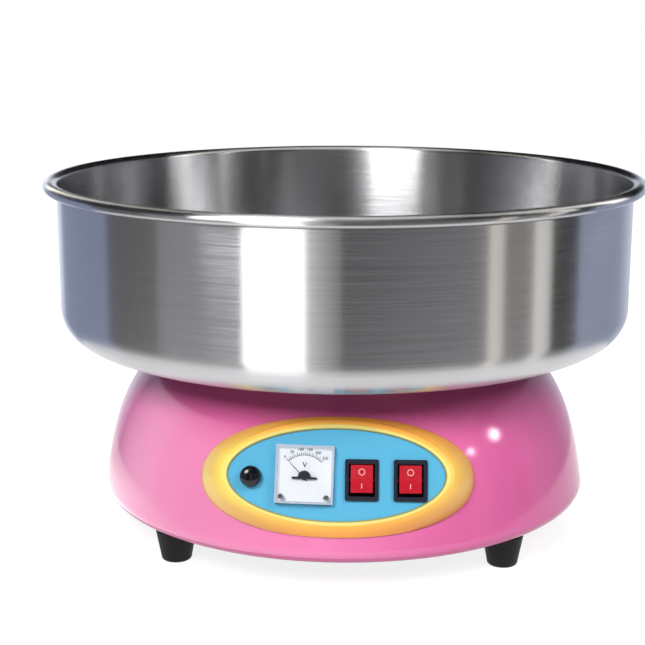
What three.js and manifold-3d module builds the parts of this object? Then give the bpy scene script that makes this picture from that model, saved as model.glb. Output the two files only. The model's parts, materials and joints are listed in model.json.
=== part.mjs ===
// Table-top candy floss machine: a spun steel bowl on a bell-shaped sheet steel housing.
// Millimetres, +Z up. The origin is on the spinner's axis, on the surface the feet stand on,
// and the control panel faces -Y.
import * as THREE from 'three';
import { mergeVertices } from 'three/addons/utils/BufferGeometryUtils.js';
import Module from 'manifold-3d';

const wasm = await Module();
wasm.setup();

// Clearances between pieces
const seatGap = 0.3;
const shaftClearance = 0.3;
const screwClearance = 0.3;
const weldDistance = 0.0005;

// Facets round a circle, by how large it is
const largeFacets = 48;
const mediumFacets = 24;
const smallFacets = 12;
const screwFacets = 8;
const cornerSteps = 3;
const flankSteps = 7;

// Bowl: 520 mm over the rolled rim
const rimRadius = 260;
const bowlHeight = 138.1;
const bowlWall = 1.2;
const bowlWallRadius = 248.7;
const bowlCornerRadius = 29;
const bowlHoleRadius = 84;
const bowlCollarHeight = 10;
const rimHalfHeight = 4.9;
const rimCurlDegrees = 315;
const rimSteps = 7;

// Thumb screws that hold the bowl down on the deck
const thumbScrewCount = 3;
const thumbScrewCircleRadius = 98;
const thumbScrewRadius = 2.5;
const thumbScrewLength = 12;
const thumbHeadRadius = 8;
const thumbHeadHeight = 9;
const firstScrewDegrees = 90;

// Gasket ring between bowl and deck
const gasketThickness = 2;
const gasketHalfWidth = 12;

// Feet: tapered rubber, each with a bolt up through it
const footHeight = 27;
const footTopRadius = 17;
const footBottomRadius = 12.6;
const footInset = 23.58;
const footCounterboreRadius = 7.5;
const footCounterboreDepth = 10;
const footBoltRadius = 3;
const footBoltHeadRadius = 5.5;
const footBoltHeadHeight = 4;
const footBoltThreadRise = 4;

// Housing: one drawn shell with a hem below and a flat deck on top
const housingHeight = 137.7;
const housingWall = 2;
const kneeRadius = 214.5;
const hemRadius = 9.7;
const hemFlangeWidth = 42.5;
const flankLeanDegrees = 9.4;
const flankReach = 41.5;
const deckEdgeRadius = 152.6;
const shoulderLeanDegrees = 49.5;
const shoulderReach = 66.4;
const deckHoleRadius = 24;

// Base plate with its ring of air slots
const basePlateThickness = 2.5;
const basePlateInset = 11.5;
const ventCount = 24;
const ventLength = 34;
const ventWidth = 6;
const ventCircleRadius = 105;

// Turret: the drawn cover round the shaft that stands through the bowl's hole
const turretHeight = 31;
const turretWall = 1.5;
const turretRadius = 62;
const turretFlangeWidth = 12;
const turretCornerRadius = 6;
const turretHoleRadius = 14;

// Drive: motor hung under the deck, shaft up to the spinner head
const shaftRadius = 6;
const shaftFootHeight = 36;
const mountRingThickness = 6;
const mountRingHalfWidth = 9;
const motorFlangeRadius = 76;
const motorFlangeThickness = 5;
const motorScrewCount = 3;
const motorScrewRadius = 2.5;
const motorScrewHeadRadius = 4.5;
const motorScrewHeadHeight = 2.8;
const motorRadius = 37;
const motorCanWall = 1.5;
const motorCanHeight = 92;
const endBellThickness = 14;
const bearingRadius = 13;
const bearingHeight = 7.5;
const bearingShoulder = 1;
const rotorRadius = 20.4;
const rotorHeight = 46;
const airGap = 0.6;
const coilInset = 5;
const coilOverhang = 8;
const fanRadius = 34;
const fanHeight = 10;
const fanHubRadius = 10;
const fanBladeCount = 8;
const fanBladeThickness = 1.6;
const fanBladePitchDegrees = 35;

// Slip rings, brushes and their holder
const sleeveRadius = 12;
const sleeveCollarRadius = 16;
const sleeveEnd = 2;
const slipRingRadius = 19;
const slipRingHeight = 7;
const slipRingPitch = 12;
const slipRingFloor = 6;
const brushWidth = 6;
const brushLength = 12;
const brushSpringRadius = 2.6;
const brushSpringWall = 0.8;
const brushSpringLength = 6.4;
const brushHolderWidth = 14;
const brushHolderWall = 4;

// Spinner head
const headClearance = 8;
const headRadius = 72;
const headFloor = 3;
const headRimHeight = 8;
const headRimWall = 3;
const headHubRadius = 14;
const headHubHeight = 20;
const headHubDrop = 4;
const bandHeight = 22;
const bandWall = 1.2;
const bandInset = 0.6;
const bandSlotCount = 24;
const bandSlotWidth = 2.2;
const bandSlotMargin = 3;
const headTopThickness = 2.5;
const cupFloorRadius = 32;
const cupMouthRadius = 38.5;
const cupWall = 1.5;
const cupLipHeight = 2.5;
const cupSlotCount = 8;
const cupSlotWidth = 9;
const cupSlotHeight = 4;
const heaterRadius = 65;
const heaterWall = 5;
const heaterHeight = 17;
const heaterLegCount = 6;
const heaterLegRadius = 2;
const heaterLegHeight = 6;
const headNutRadius = 9.5;
const headNutHeight = 12;
const headNutCap = 3;

// Control panel: a flat oval plate in a moulded bezel on the front of the housing
const panelHeight = 97;
const panelSetback = 1.5;
const windowHalfWidth = 84;
const windowHalfHeight = 35.3;
const plateThickness = 2;
const plateLap = 4.3;
const bezelHalfWidth = 107.5;
const bezelHalfHeight = 46.6;
const bezelDrop = 1.2;
const bezelSquareness = 2.2;
const bezelEdge = 1.7;
const beadWidth = 4.3;
const beadHeight = 1.6;
const bezelLip = 0.9;
const bezelBlankDepth = 60;
const bezelFacets = 40;
const bezelSkirtSteps = 3;
const bezelCrown = 1.7;
const bezelWall = 2.5;
const bezelHollowStart = 45;
const collarWall = 2.6;
const collarDepth = 7;
const clipThickness = 1.8;
const clipReach = 1.6;
const clipWidth = 12;

// Voltmeter, hung a little clockwise in its cut-out
const meterAcross = -24.5;
const meterUp = 0.1;
const meterTurnDegrees = -1.4;
const meterWidth = 45;
const meterFlange = 3;
const meterBarrelRadius = 19;
const meterBarrelLength = 24;
const meterCoverHeight = 5.5;
const meterCoverWall = 1.3;
const meterCoverBevel = 1.8;
const dialThickness = 0.5;
const pivotDrop = 2.7;
const needleLength = 17;
const needleTail = 3;
const needleWidth = 0.9;
const needleThickness = 0.4;
const needleHubRadius = 1.8;
const needleSpindleRadius = 0.6;
const needleSpindleLength = 3;
const needleSweepDegrees = 90;
const needleLift = 0.8;
const shroudRadius = 5;
const shroudHalfWidth = 9.6;
const shroudBarHeight = 1.6;
const shroudThickness = 1;
const shroudLift = 2;
const coverScrewOffset = 17.4;
const coverScrewRadius = 1.4;
const coverScrewHeadHeight = 0.7;
const coverScrewBite = 1.4;

// Fuse holder with its domed cap
const fuseAcross = -66;
const fuseUp = -1.7;
const fuseBarrelRadius = 6;
const fuseBarrelLength = 36;
const fuseFlangeRadius = 8.15;
const fuseFlangeThickness = 1.7;
const fuseLinkRadius = 3;
const fuseLinkLength = 27;
const fuseCapHeight = 9;
const fuseCapNeckLength = 6;
const fuseNutRadius = 8.5;
const fuseNutHeight = 3.5;

// Rocker switches
const switchAcross = [19.6, 57];
const switchUp = -3.6;
const switchFrameWidth = 26;
const switchFrameHeight = 32;
const switchFrameThickness = 2.2;
const switchFrameCorner = 1.5;
const switchBodyWidth = 21.8;
const switchBodyHeight = 29.4;
const switchBodyDepth = 20;
const switchWellWidth = 20;
const switchWellHeight = 25;
const switchWellDepth = 9;
const rockerWidth = 17;
const rockerHalfHeight = 10.8;
const rockerThrowDegrees = 20;
const rockerCrown = 4.1;
const rockerKeel = 4.5;
const rockerKeelHalfWidth = 5;
const rockerFootInset = 0.6;
const rockerPinRadius = 1.5;
const pivotBelowPlate = 2.0;

// Terminal block and cord grommet
const terminalLength = 60;
const terminalWidth = 20;
const terminalHeight = 10;
const terminalWays = 5;
const terminalWallHeight = 5;
const terminalWallThickness = 2;
const terminalBack = 150;
const grommetHeight = 58;
const grommetFlangeRadius = 11;
const grommetNeckRadius = 8;
const grommetBoreRadius = 4;
const grommetFlangeThickness = 5;

// Heights that follow from the sizes above
const housingBottom = footHeight + seatGap;
const deckTop = housingBottom + housingHeight;
const deckUnderside = deckTop - housingWall;
const gasketBottom = deckTop + seatGap;
const bowlBottom = gasketBottom + gasketThickness + seatGap;
const bowlTop = bowlBottom + bowlHeight;
const basePlateBottom = housingBottom + housingWall + seatGap;
const basePlateTop = basePlateBottom + basePlateThickness;
const turretBottom = deckTop + seatGap;
const turretTop = turretBottom + turretHeight;
const mountRingBottom = deckUnderside - seatGap - mountRingThickness;
const endBellTop = mountRingBottom - seatGap;
const endBellBottom = endBellTop - endBellThickness;
const canTop = endBellBottom - seatGap;
const canBottom = canTop - motorCanHeight;
const headBottom = turretTop + headClearance;
const headFloorTop = headBottom + headFloor;
const hubBottom = headBottom - headHubDrop;
const hubTop = hubBottom + headHubHeight;
const bandBottom = headBottom + headRimHeight + seatGap;
const headTopBottom = bandBottom + bandHeight + seatGap;
const cupBottom = hubTop + seatGap;
const headNutBottom = cupBottom + cupWall + seatGap;
const shaftTop = headNutBottom + headNutHeight - headNutCap - seatGap;
const panelFront = -panelSetback;
const footOffset = (kneeRadius - footInset) / Math.SQRT2;
const hemFlangeRadius = kneeRadius - hemFlangeWidth;
const basePlateRadius = kneeRadius - basePlateInset;
const motorMiddle = (canBottom + canTop) / 2;
const slipRingBottoms = [0, 1].map((i) => turretBottom + slipRingFloor + i * slipRingPitch);
const brushStart = slipRingRadius + seatGap;

// Materials

function finish(colour, roughness, metalness) {
  return new THREE.MeshStandardMaterial({ color: colour, roughness, metalness });
}

const stainless = finish(0xb9bbbf, 0.25, 1);
const castAluminium = finish(0xa9abae, 0.5, 1);
const zincPlated = finish(0xc4c6c9, 0.35, 1);
const brass = finish(0xc9a34e, 0.3, 1);
const copper = finish(0xb87346, 0.4, 1);
const carbon = finish(0x26262a, 0.8, 0);
const pinkPaint = finish(0xf27fb8, 0.25, 0);
const greyPaint = finish(0x8d9196, 0.5, 0.4);
const yellowPlastic = finish(0xfbbf5a, 0.35, 0);
const bluePlastic = finish(0x5cbbe6, 0.35, 0);
const whitePlastic = finish(0xf2f3f5, 0.35, 0);
const clearPlastic = finish(0xe6eef5, 0.05, 0);
const blackPlastic = finish(0x24262b, 0.4, 0);
const redPlastic = finish(0xcb2735, 0.3, 0);
const blackRubber = finish(0x1d1d20, 0.8, 0);
const creamPlastic = finish(0xe4dcc6, 0.5, 0);
const ceramic = finish(0xe0d8c8, 0.7, 0);

// Geometry helpers

function radians(degrees) {
  return degrees * Math.PI / 180;
}

// A solid of revolution about Z from a profile of [radius, height] points.
function turned(profile, facets) {
  const points = profile.map(([radius, height]) => new THREE.Vector2(radius, height));
  return new THREE.LatheGeometry(points, facets).rotateX(Math.PI / 2);
}

function closed(profile) {
  return [...profile, profile[0]];
}

function rod(radius, bottom, top, facets) {
  const shape = new THREE.CylinderGeometry(radius, radius, top - bottom, facets);
  return shape.rotateX(Math.PI / 2).translate(0, 0, (bottom + top) / 2);
}

function ring(innerRadius, outerRadius, bottom, top, facets) {
  const profile = [
    [innerRadius, bottom], [outerRadius, bottom], [outerRadius, top], [innerRadius, top],
  ];
  return turned(closed(profile), facets);
}

function block(width, depth, height, x, y, z) {
  return new THREE.BoxGeometry(width, depth, height).translate(x, y, z);
}

function arc(centreX, centreY, radius, fromDegrees, toDegrees, steps) {
  return Array.from({ length: steps + 1 }, (_, i) => {
    const angle = radians(fromDegrees + (toDegrees - fromDegrees) * i / steps);
    return [centreX + radius * Math.cos(angle), centreY + radius * Math.sin(angle)];
  });
}

function prism(outline, bottom, top) {
  const shape = new THREE.Shape(outline.map(([x, y]) => new THREE.Vector2(x, y)));
  const settings = { depth: top - bottom, bevelEnabled: false };
  return new THREE.ExtrudeGeometry(shape, settings).translate(0, 0, bottom);
}

function roundedOutline(width, height, radius) {
  const x = width / 2 - radius;
  const y = height / 2 - radius;
  return [
    ...arc(x, y, radius, 0, 90, cornerSteps), ...arc(-x, y, radius, 90, 180, cornerSteps),
    ...arc(-x, -y, radius, 180, 270, cornerSteps), ...arc(x, -y, radius, 270, 360, cornerSteps),
  ];
}

// Copies of a geometry, spaced evenly round Z and set out by a radius.
function aroundAxis(geometry, count, radius, startDegrees = 0) {
  return Array.from({ length: count }, (_, i) => {
    const angle = radians(startDegrees) + i * 2 * Math.PI / count;
    return geometry.clone().translate(radius, 0, 0).rotateZ(angle);
  });
}

// Booleans

function solid(geometry) {
  const bare = geometry.index ? geometry.toNonIndexed() : geometry.clone();
  bare.deleteAttribute('normal');
  bare.deleteAttribute('uv');
  const merged = mergeVertices(bare, weldDistance);
  const corners = merged.index.array;
  const kept = [];
  for (let i = 0; i < corners.length; i += 3) {
    const [a, b, c] = [corners[i], corners[i + 1], corners[i + 2]];
    if (a !== b && b !== c && c !== a) {
      kept.push(a, b, c);
    }
  }
  return new wasm.Manifold(new wasm.Mesh({
    numProp: 3,
    vertProperties: new Float32Array(merged.attributes.position.array),
    triVerts: new Uint32Array(kept),
  }));
}

function geometryOf(manifold) {
  const mesh = manifold.getMesh();
  const geometry = new THREE.BufferGeometry();
  geometry.setAttribute('position', new THREE.BufferAttribute(mesh.vertProperties, 3));
  geometry.setIndex(new THREE.BufferAttribute(mesh.triVerts, 1));
  return geometry;
}

function cut(geometry, ...tools) {
  const result = tools.reduce((left, tool) => left.subtract(solid(tool)), solid(geometry));
  return geometryOf(result);
}

function join(...geometries) {
  return geometryOf(geometries.slice(1).reduce((sum, next) => sum.add(solid(next)), solid(geometries[0])));
}

function common(geometry, other) {
  return geometryOf(solid(geometry).intersect(solid(other)));
}

function piece(name, geometry, material, x = 0, y = 0, z = 0) {
  const mesh = new THREE.Mesh(geometry, material);
  mesh.name = name;
  mesh.position.set(x, y, z);
  return mesh;
}

// A screw whose head bears on a face at height zero, its shank pointing down.
function panScrew(shankRadius, length, headRadius, headHeight) {
  const profile = [
    [0, -length], [shankRadius, -length], [shankRadius, seatGap], [headRadius, seatGap],
    [headRadius, seatGap + headHeight * 0.6], [headRadius * 0.6, seatGap + headHeight],
    [0, seatGap + headHeight],
  ];
  return turned(profile, screwFacets);
}

// The same piece in several places evenly round the axis, numbered from one.
function numberedPieces(name, geometry, material, count, radius, startDegrees) {
  return Array.from({ length: count }, (_, i) => {
    const angle = radians(startDegrees) + i * 2 * Math.PI / count;
    const [x, y] = [radius * Math.cos(angle), radius * Math.sin(angle)];
    return piece(name + '_' + (i + 1), geometry, material, x, y);
  });
}

// Housing profile: hem arc, flank curve up to the deck's edge

const kneeHeight = housingBottom + hemRadius;
const flankLean = radians(flankLeanDegrees);
const shoulderLean = radians(shoulderLeanDegrees);
const flank = new THREE.CubicBezierCurve(
  new THREE.Vector2(kneeRadius, kneeHeight),
  new THREE.Vector2(
    kneeRadius - flankReach * Math.sin(flankLean), kneeHeight + flankReach * Math.cos(flankLean)),
  new THREE.Vector2(
    deckEdgeRadius + shoulderReach * Math.sin(shoulderLean),
    deckTop - shoulderReach * Math.cos(shoulderLean)),
  new THREE.Vector2(deckEdgeRadius, deckTop),
);

// The flank moved inwards, square to itself, by a distance; outwards if negative.
function flankPoints(inset) {
  return Array.from({ length: flankSteps + 1 }, (_, i) => {
    const point = flank.getPoint(i / flankSteps);
    const along = flank.getTangent(i / flankSteps);
    return [point.x - inset * along.y, point.y + inset * along.x];
  });
}

// Points from a rising outline, ended level at the given height.
function endedAt(points, top) {
  const below = points.filter(([, height]) => height < top - weldDistance);
  const [lastRadius, lastHeight] = below[below.length - 1];
  const [nextRadius, nextHeight] = points[below.length] ?? [lastRadius, top];
  const share = (top - lastHeight) / (nextHeight - lastHeight);
  return [...below, [lastRadius + share * (nextRadius - lastRadius), top]];
}

// The housing's outline at an inset, from the hem's underside up to the deck.
function shellOutline(inset) {
  const hem = arc(kneeRadius - hemRadius, kneeHeight, hemRadius - inset, 270, 360, cornerSteps);
  return endedAt([...hem.slice(0, -1), ...flankPoints(inset)], deckTop - inset);
}

// The flank's radius and lean at a height.
function flankAt(height) {
  let low = 0;
  let high = 1;
  for (let i = 0; i < 40; i += 1) {
    const middle = (low + high) / 2;
    if (flank.getPoint(middle).y < height) {
      low = middle;
    } else {
      high = middle;
    }
  }
  const along = flank.getTangent(low);
  return { radius: flank.getPoint(low).x, lean: Math.atan2(-along.x, along.y) };
}

// A solid bounded by the flank at an inset and by the deck, straight-sided below the knee.
function bellSolid(inset) {
  const sides = flankPoints(inset);
  const profile = [[0, 0], [sides[0][0], 0], ...endedAt(sides, deckTop - inset), [0, deckTop - inset]];
  return turned(profile, largeFacets);
}

// Panel frame: its X runs across, its Y up the plate and its Z out of the housing

const panelSeat = flankAt(panelHeight);
const panelGroup = new THREE.Group();
panelGroup.position.set(0, -panelSeat.radius, panelHeight);
panelGroup.rotation.x = Math.PI / 2 - panelSeat.lean;
panelGroup.updateMatrix();

function inPanelFrame(geometry) {
  return geometry.applyMatrix4(panelGroup.matrix.clone().invert());
}

// How far out of the panel frame's plane the housing lies, at a place on the plane.
function housingDepthAt(across, up) {
  let low = -kneeRadius;
  let high = 0;
  for (let i = 0; i < 40; i += 1) {
    const middle = (low + high) / 2;
    const place = new THREE.Vector3(across, up, middle).applyMatrix4(panelGroup.matrix);
    if (Math.hypot(place.x, place.y) > flankAt(place.z).radius) {
      high = middle;
    } else {
      low = middle;
    }
  }
  return low;
}

// A point on the window's ellipse, grown by a margin.
function windowPoint(angle, margin) {
  return [
    (windowHalfWidth + margin) * Math.cos(angle), (windowHalfHeight + margin) * Math.sin(angle),
  ];
}

function windowOutline(margin) {
  return Array.from({ length: bezelFacets }, (_, i) => windowPoint(i * 2 * Math.PI / bezelFacets, margin));
}

function ovalPrism(margin, bottom, top) {
  return prism(windowOutline(margin), bottom, top);
}

// A point on the bezel's outer edge, a slightly squared oval.
function bezelEdgePoint(angle) {
  const x = Math.cos(angle);
  const y = Math.sin(angle);
  const power = 2 / bezelSquareness;
  return [
    bezelHalfWidth * Math.sign(x) * Math.abs(x) ** power,
    bezelHalfHeight * Math.sign(y) * Math.abs(y) ** power - bezelDrop,
  ];
}

const lipBack = panelFront + seatGap;

// The bezel's sloping front between the bead at share 0 and the outer edge at share 1.
function skirtPoint(angle, share) {
  const inner = windowPoint(angle, beadWidth);
  const outer = bezelEdgePoint(angle);
  const x = inner[0] + (outer[0] - inner[0]) * share;
  const y = inner[1] + (outer[1] - inner[1]) * share;
  const valley = lipBack + bezelLip;
  const edge = housingDepthAt(outer[0], outer[1]) + bezelEdge;
  return [x, y, valley + (edge - valley) * share ** bezelCrown];
}

// A closed tube of rings, each a function from angle to a point, joined in order.
function loft(rings) {
  const positions = [];
  const indices = [];
  for (const ringPoint of rings) {
    for (let i = 0; i < bezelFacets; i += 1) {
      positions.push(...ringPoint(i * 2 * Math.PI / bezelFacets));
    }
  }
  for (let row = 0; row < rings.length; row += 1) {
    const nextRow = (row + 1) % rings.length;
    for (let i = 0; i < bezelFacets; i += 1) {
      const next = (i + 1) % bezelFacets;
      const a = row * bezelFacets + i;
      const b = row * bezelFacets + next;
      const c = nextRow * bezelFacets + next;
      const d = nextRow * bezelFacets + i;
      indices.push(a, b, c, a, c, d);
    }
  }
  const geometry = new THREE.BufferGeometry();
  geometry.setAttribute('position', new THREE.Float32BufferAttribute(positions, 3));
  geometry.setIndex(indices);
  return geometry;
}

// Bowl, gasket and thumb screws

function thumbScrewHoles(bottom, top) {
  const hole = rod(thumbScrewRadius + screwClearance, bottom - 1, top + 1, screwFacets);
  return aroundAxis(hole, thumbScrewCount, thumbScrewCircleRadius, firstScrewDegrees);
}

function makeBowl() {
  const curlHalfWidth = (rimRadius - bowlWallRadius) / 2;
  const curlCentre = rimRadius - curlHalfWidth - bowlWall / 2;
  const curlHeight = bowlTop - rimHalfHeight;
  const curl = (offset) => Array.from({ length: rimSteps + 1 }, (_, i) => {
    const angle = Math.PI - radians(rimCurlDegrees) * i / rimSteps;
    return [
      curlCentre + (curlHalfWidth + offset) * Math.cos(angle),
      curlHeight + (rimHalfHeight - bowlWall / 2 + offset) * Math.sin(angle),
    ];
  });
  const cornerCentre = [bowlWallRadius - bowlCornerRadius, bowlBottom + bowlCornerRadius];
  const profile = [
    [bowlHoleRadius, bowlBottom],
    ...arc(...cornerCentre, bowlCornerRadius, 270, 360, cornerSteps),
    ...curl(-bowlWall / 2),
    ...curl(bowlWall / 2).reverse(),
    ...arc(...cornerCentre, bowlCornerRadius - bowlWall, 360, 270, cornerSteps),
    [bowlHoleRadius + bowlWall, bowlBottom + bowlWall],
    [bowlHoleRadius + bowlWall, bowlBottom + bowlCollarHeight],
    [bowlHoleRadius, bowlBottom + bowlCollarHeight],
  ];
  const holes = thumbScrewHoles(bowlBottom, bowlBottom + bowlWall);
  return piece('bowl', cut(turned(closed(profile), largeFacets), ...holes), stainless);
}

function makeThumbScrews() {
  const seat = bowlBottom + bowlWall + seatGap;
  const profile = [
    [0, seat - thumbScrewLength], [thumbScrewRadius, seat - thumbScrewLength],
    [thumbScrewRadius, seat], [thumbHeadRadius, seat], [thumbHeadRadius, seat + thumbHeadHeight - 1],
    [thumbHeadRadius - 1, seat + thumbHeadHeight], [0, seat + thumbHeadHeight],
  ];
  return numberedPieces('bowl_thumb_screw', turned(profile, smallFacets), stainless, thumbScrewCount,
    thumbScrewCircleRadius, firstScrewDegrees);
}

function makeGasket() {
  const top = gasketBottom + gasketThickness;
  const band = ring(thumbScrewCircleRadius - gasketHalfWidth, thumbScrewCircleRadius + gasketHalfWidth,
    gasketBottom, top, largeFacets);
  return piece('bowl_gasket', cut(band, ...thumbScrewHoles(gasketBottom, top)), blackRubber);
}

// Housing, base plate and feet

function motorScrewHoles(bottom, top) {
  const hole = rod(motorScrewRadius + screwClearance, bottom - 1, top + 1, screwFacets);
  return aroundAxis(hole, motorScrewCount, motorScrewCircle, firstScrewDegrees);
}

function footBoltHoles(bottom, top) {
  const hole = rod(footBoltRadius + screwClearance, bottom - 1, top + 1, screwFacets);
  return aroundAxis(hole, 4, footOffset * Math.SQRT2, 45);
}

function makeHousing() {
  const profile = [
    [hemFlangeRadius, housingBottom], ...shellOutline(0), [deckHoleRadius, deckTop],
    [deckHoleRadius, deckUnderside], ...shellOutline(housingWall).reverse(),
    [hemFlangeRadius, housingBottom + housingWall],
  ];
  const window = ovalPrism(plateLap + collarWall + 2 * seatGap, -bezelBlankDepth, beadHeight * 4)
    .applyMatrix4(panelGroup.matrix);
  const grommetHole = rod(grommetNeckRadius + seatGap, kneeRadius / 2, kneeRadius + hemRadius, mediumFacets)
    .rotateX(-Math.PI / 2).translate(0, 0, grommetHeight);
  return piece('housing', cut(turned(closed(profile), largeFacets), window, grommetHole,
    ...thumbScrewHoles(deckUnderside, deckTop), ...motorScrewHoles(deckUnderside, deckTop),
    ...footBoltHoles(housingBottom, housingBottom + housingWall)), pinkPaint);
}

function makeBasePlate() {
  const plate = rod(basePlateRadius, basePlateBottom, basePlateTop, largeFacets);
  const vent = block(ventLength, ventWidth, basePlateThickness + 2, 0, 0,
    basePlateBottom + basePlateThickness / 2);
  return piece('base_plate', cut(plate, ...aroundAxis(vent, ventCount, ventCircleRadius),
    ...footBoltHoles(basePlateBottom, basePlateTop)), zincPlated);
}

function makeFoot(name, x, y) {
  const bore = footBoltRadius + screwClearance;
  const profile = [
    [footCounterboreRadius, 0], [footBottomRadius, 0], [footTopRadius, footHeight],
    [bore, footHeight], [bore, footCounterboreDepth], [footCounterboreRadius, footCounterboreDepth],
  ];
  return piece(name, turned(closed(profile), mediumFacets), blackRubber, x, y);
}

function makeFootBolt(name, x, y) {
  const headTop = footCounterboreDepth - seatGap;
  const headBottom = headTop - footBoltHeadHeight;
  const bolt = join(rod(footBoltHeadRadius, headBottom, headTop, 6),
    rod(footBoltRadius, headBottom + 1, basePlateTop + footBoltThreadRise, screwFacets));
  return piece(name, bolt, zincPlated, x, y);
}

// Turret on the deck, and the screws that hang the motor from it

const motorScrewCircle = turretRadius + turretFlangeWidth / 2;

function makeTurret() {
  const brim = turretRadius + turretFlangeWidth;
  const flangeTop = turretBottom + turretWall;
  const cornerCentre = [turretRadius - turretCornerRadius, turretTop - turretCornerRadius];
  const profile = [
    [turretRadius - turretWall, turretBottom], [brim, turretBottom], [brim, flangeTop],
    [turretRadius, flangeTop],
    ...arc(...cornerCentre, turretCornerRadius, 0, 90, cornerSteps),
    [turretHoleRadius, turretTop], [turretHoleRadius, turretTop - turretWall],
    ...arc(...cornerCentre, turretCornerRadius - turretWall, 90, 0, cornerSteps),
  ];
  return piece('turret', cut(turned(closed(profile), mediumFacets),
    ...motorScrewHoles(turretBottom, flangeTop)), stainless);
}

function makeMotorScrews() {
  const seat = turretBottom + turretWall;
  const length = seat - (endBellTop - motorFlangeThickness);
  const screw = panScrew(motorScrewRadius, length, motorScrewHeadRadius, motorScrewHeadHeight)
    .translate(0, 0, seat);
  return numberedPieces('motor_screw', screw, zincPlated, motorScrewCount, motorScrewCircle,
    firstScrewDegrees);
}

function makeMountRing() {
  const top = mountRingBottom + mountRingThickness;
  const band = ring(motorScrewCircle - mountRingHalfWidth, motorScrewCircle + mountRingHalfWidth,
    mountRingBottom, top, mediumFacets);
  return piece('motor_mount_ring', cut(band, ...motorScrewHoles(mountRingBottom, top)), blackRubber);
}

// Motor: end bell with a wide mounting flange, can, bearings, stator and rotor

function makeEndBell() {
  const pocket = bearingRadius + seatGap;
  const pocketTop = endBellBottom + bearingHeight - bearingShoulder;
  const flangeBottom = endBellTop - motorFlangeThickness;
  const profile = [
    [pocket, endBellBottom], [motorRadius, endBellBottom], [motorRadius, flangeBottom],
    [motorFlangeRadius, flangeBottom], [motorFlangeRadius, endBellTop],
    [shaftRadius + 1, endBellTop], [shaftRadius + 1, pocketTop], [pocket, pocketTop],
  ];
  return piece('motor_end_bell', cut(turned(closed(profile), mediumFacets),
    ...motorScrewHoles(flangeBottom, endBellTop)), castAluminium);
}

function makeMotorCan() {
  const inside = motorRadius - motorCanWall;
  const floorTop = canBottom + motorCanWall;
  const pocket = bearingRadius + seatGap;
  const profile = [
    [shaftRadius + 1, canBottom], [motorRadius, canBottom], [motorRadius, canTop], [inside, canTop],
    [inside, floorTop], [pocket + motorCanWall, floorTop],
    [pocket + motorCanWall, floorTop + bearingHeight], [pocket, floorTop + bearingHeight],
    [pocket, floorTop], [shaftRadius + 1, floorTop],
  ];
  return piece('motor_can', turned(closed(profile), mediumFacets), greyPaint);
}

function makeBearing(name, bottom) {
  const bearing = ring(shaftRadius + shaftClearance, bearingRadius, bottom, bottom + bearingHeight,
    mediumFacets);
  return piece(name, bearing, zincPlated);
}

function makeStator() {
  const inside = rotorRadius + airGap;
  const coilRadius = motorRadius - motorCanWall - coilInset;
  const stackRadius = motorRadius - motorCanWall - seatGap;
  const stack = rotorHeight / 2;
  const coil = stack + coilOverhang;
  const profile = [
    [inside, motorMiddle - coil], [coilRadius, motorMiddle - coil], [coilRadius, motorMiddle - stack],
    [stackRadius, motorMiddle - stack], [stackRadius, motorMiddle + stack],
    [coilRadius, motorMiddle + stack], [coilRadius, motorMiddle + coil], [inside, motorMiddle + coil],
  ];
  return piece('motor_stator', turned(closed(profile), mediumFacets), copper);
}

function makeRotor() {
  const shape = ring(shaftRadius + shaftClearance, rotorRadius, motorMiddle - rotorHeight / 2,
    motorMiddle + rotorHeight / 2, mediumFacets);
  return piece('rotor', shape, greyPaint);
}

function makeShaft() {
  return piece('motor_shaft', rod(shaftRadius, shaftFootHeight, shaftTop, mediumFacets), stainless);
}

function makeFan() {
  const bottom = shaftFootHeight + 1;
  const hub = ring(shaftRadius + shaftClearance, fanHubRadius, bottom, bottom + fanHeight, mediumFacets);
  const reach = fanRadius - fanHubRadius + 1;
  const blade = block(reach, fanBladeThickness, fanHeight, fanHubRadius - 1 + reach / 2, 0, 0)
    .rotateX(radians(fanBladePitchDegrees)).translate(0, 0, bottom + fanHeight / 2);
  return piece('cooling_fan', join(hub, ...aroundAxis(blade, fanBladeCount, 0)), blackPlastic);
}

// Slip rings on their sleeve, and the brushes that bear on them inside the turret

function makeSleeve() {
  const bore = shaftRadius + shaftClearance;
  const collar = ring(bore, sleeveCollarRadius, slipRingBottoms[0] + slipRingHeight + seatGap,
    slipRingBottoms[1] - seatGap, mediumFacets);
  const tube = ring(bore, sleeveRadius, slipRingBottoms[0] - sleeveEnd,
    slipRingBottoms[1] + slipRingHeight + sleeveEnd, mediumFacets);
  return piece('slip_ring_sleeve', join(tube, collar), creamPlastic);
}

function makeSlipRing(name, bottom) {
  const band = ring(sleeveRadius + seatGap, slipRingRadius, bottom, bottom + slipRingHeight, mediumFacets);
  return piece(name, band, brass);
}

function makeBrushHolder() {
  const front = slipRingRadius + sleeveEnd;
  const channelEnd = brushStart + brushLength + seatGap + brushSpringLength + seatGap;
  const back = channelEnd + brushHolderWall;
  const top = slipRingBottoms[1] + slipRingHeight + sleeveEnd;
  const body = block(brushHolderWidth, back - front, top - turretBottom, 0, (front + back) / 2,
    (top + turretBottom) / 2);
  const channels = slipRingBottoms.map((bottom) => block(brushWidth + 2 * seatGap, channelEnd,
    brushWidth + 2 * seatGap, 0, channelEnd / 2, bottom + slipRingHeight / 2));
  return piece('brush_holder', cut(body, ...channels), creamPlastic);
}

function makeBrush(name, bottom) {
  const brush = block(brushWidth, brushLength, brushWidth, 0, brushStart + brushLength / 2,
    bottom + slipRingHeight / 2);
  return piece(name, brush, carbon);
}

function makeBrushSpring(name, bottom) {
  const spring = ring(brushSpringRadius - brushSpringWall, brushSpringRadius, 0, brushSpringLength,
    screwFacets).rotateX(-Math.PI / 2)
    .translate(0, brushStart + brushLength + seatGap, bottom + slipRingHeight / 2);
  return piece(name, spring, zincPlated);
}

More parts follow.
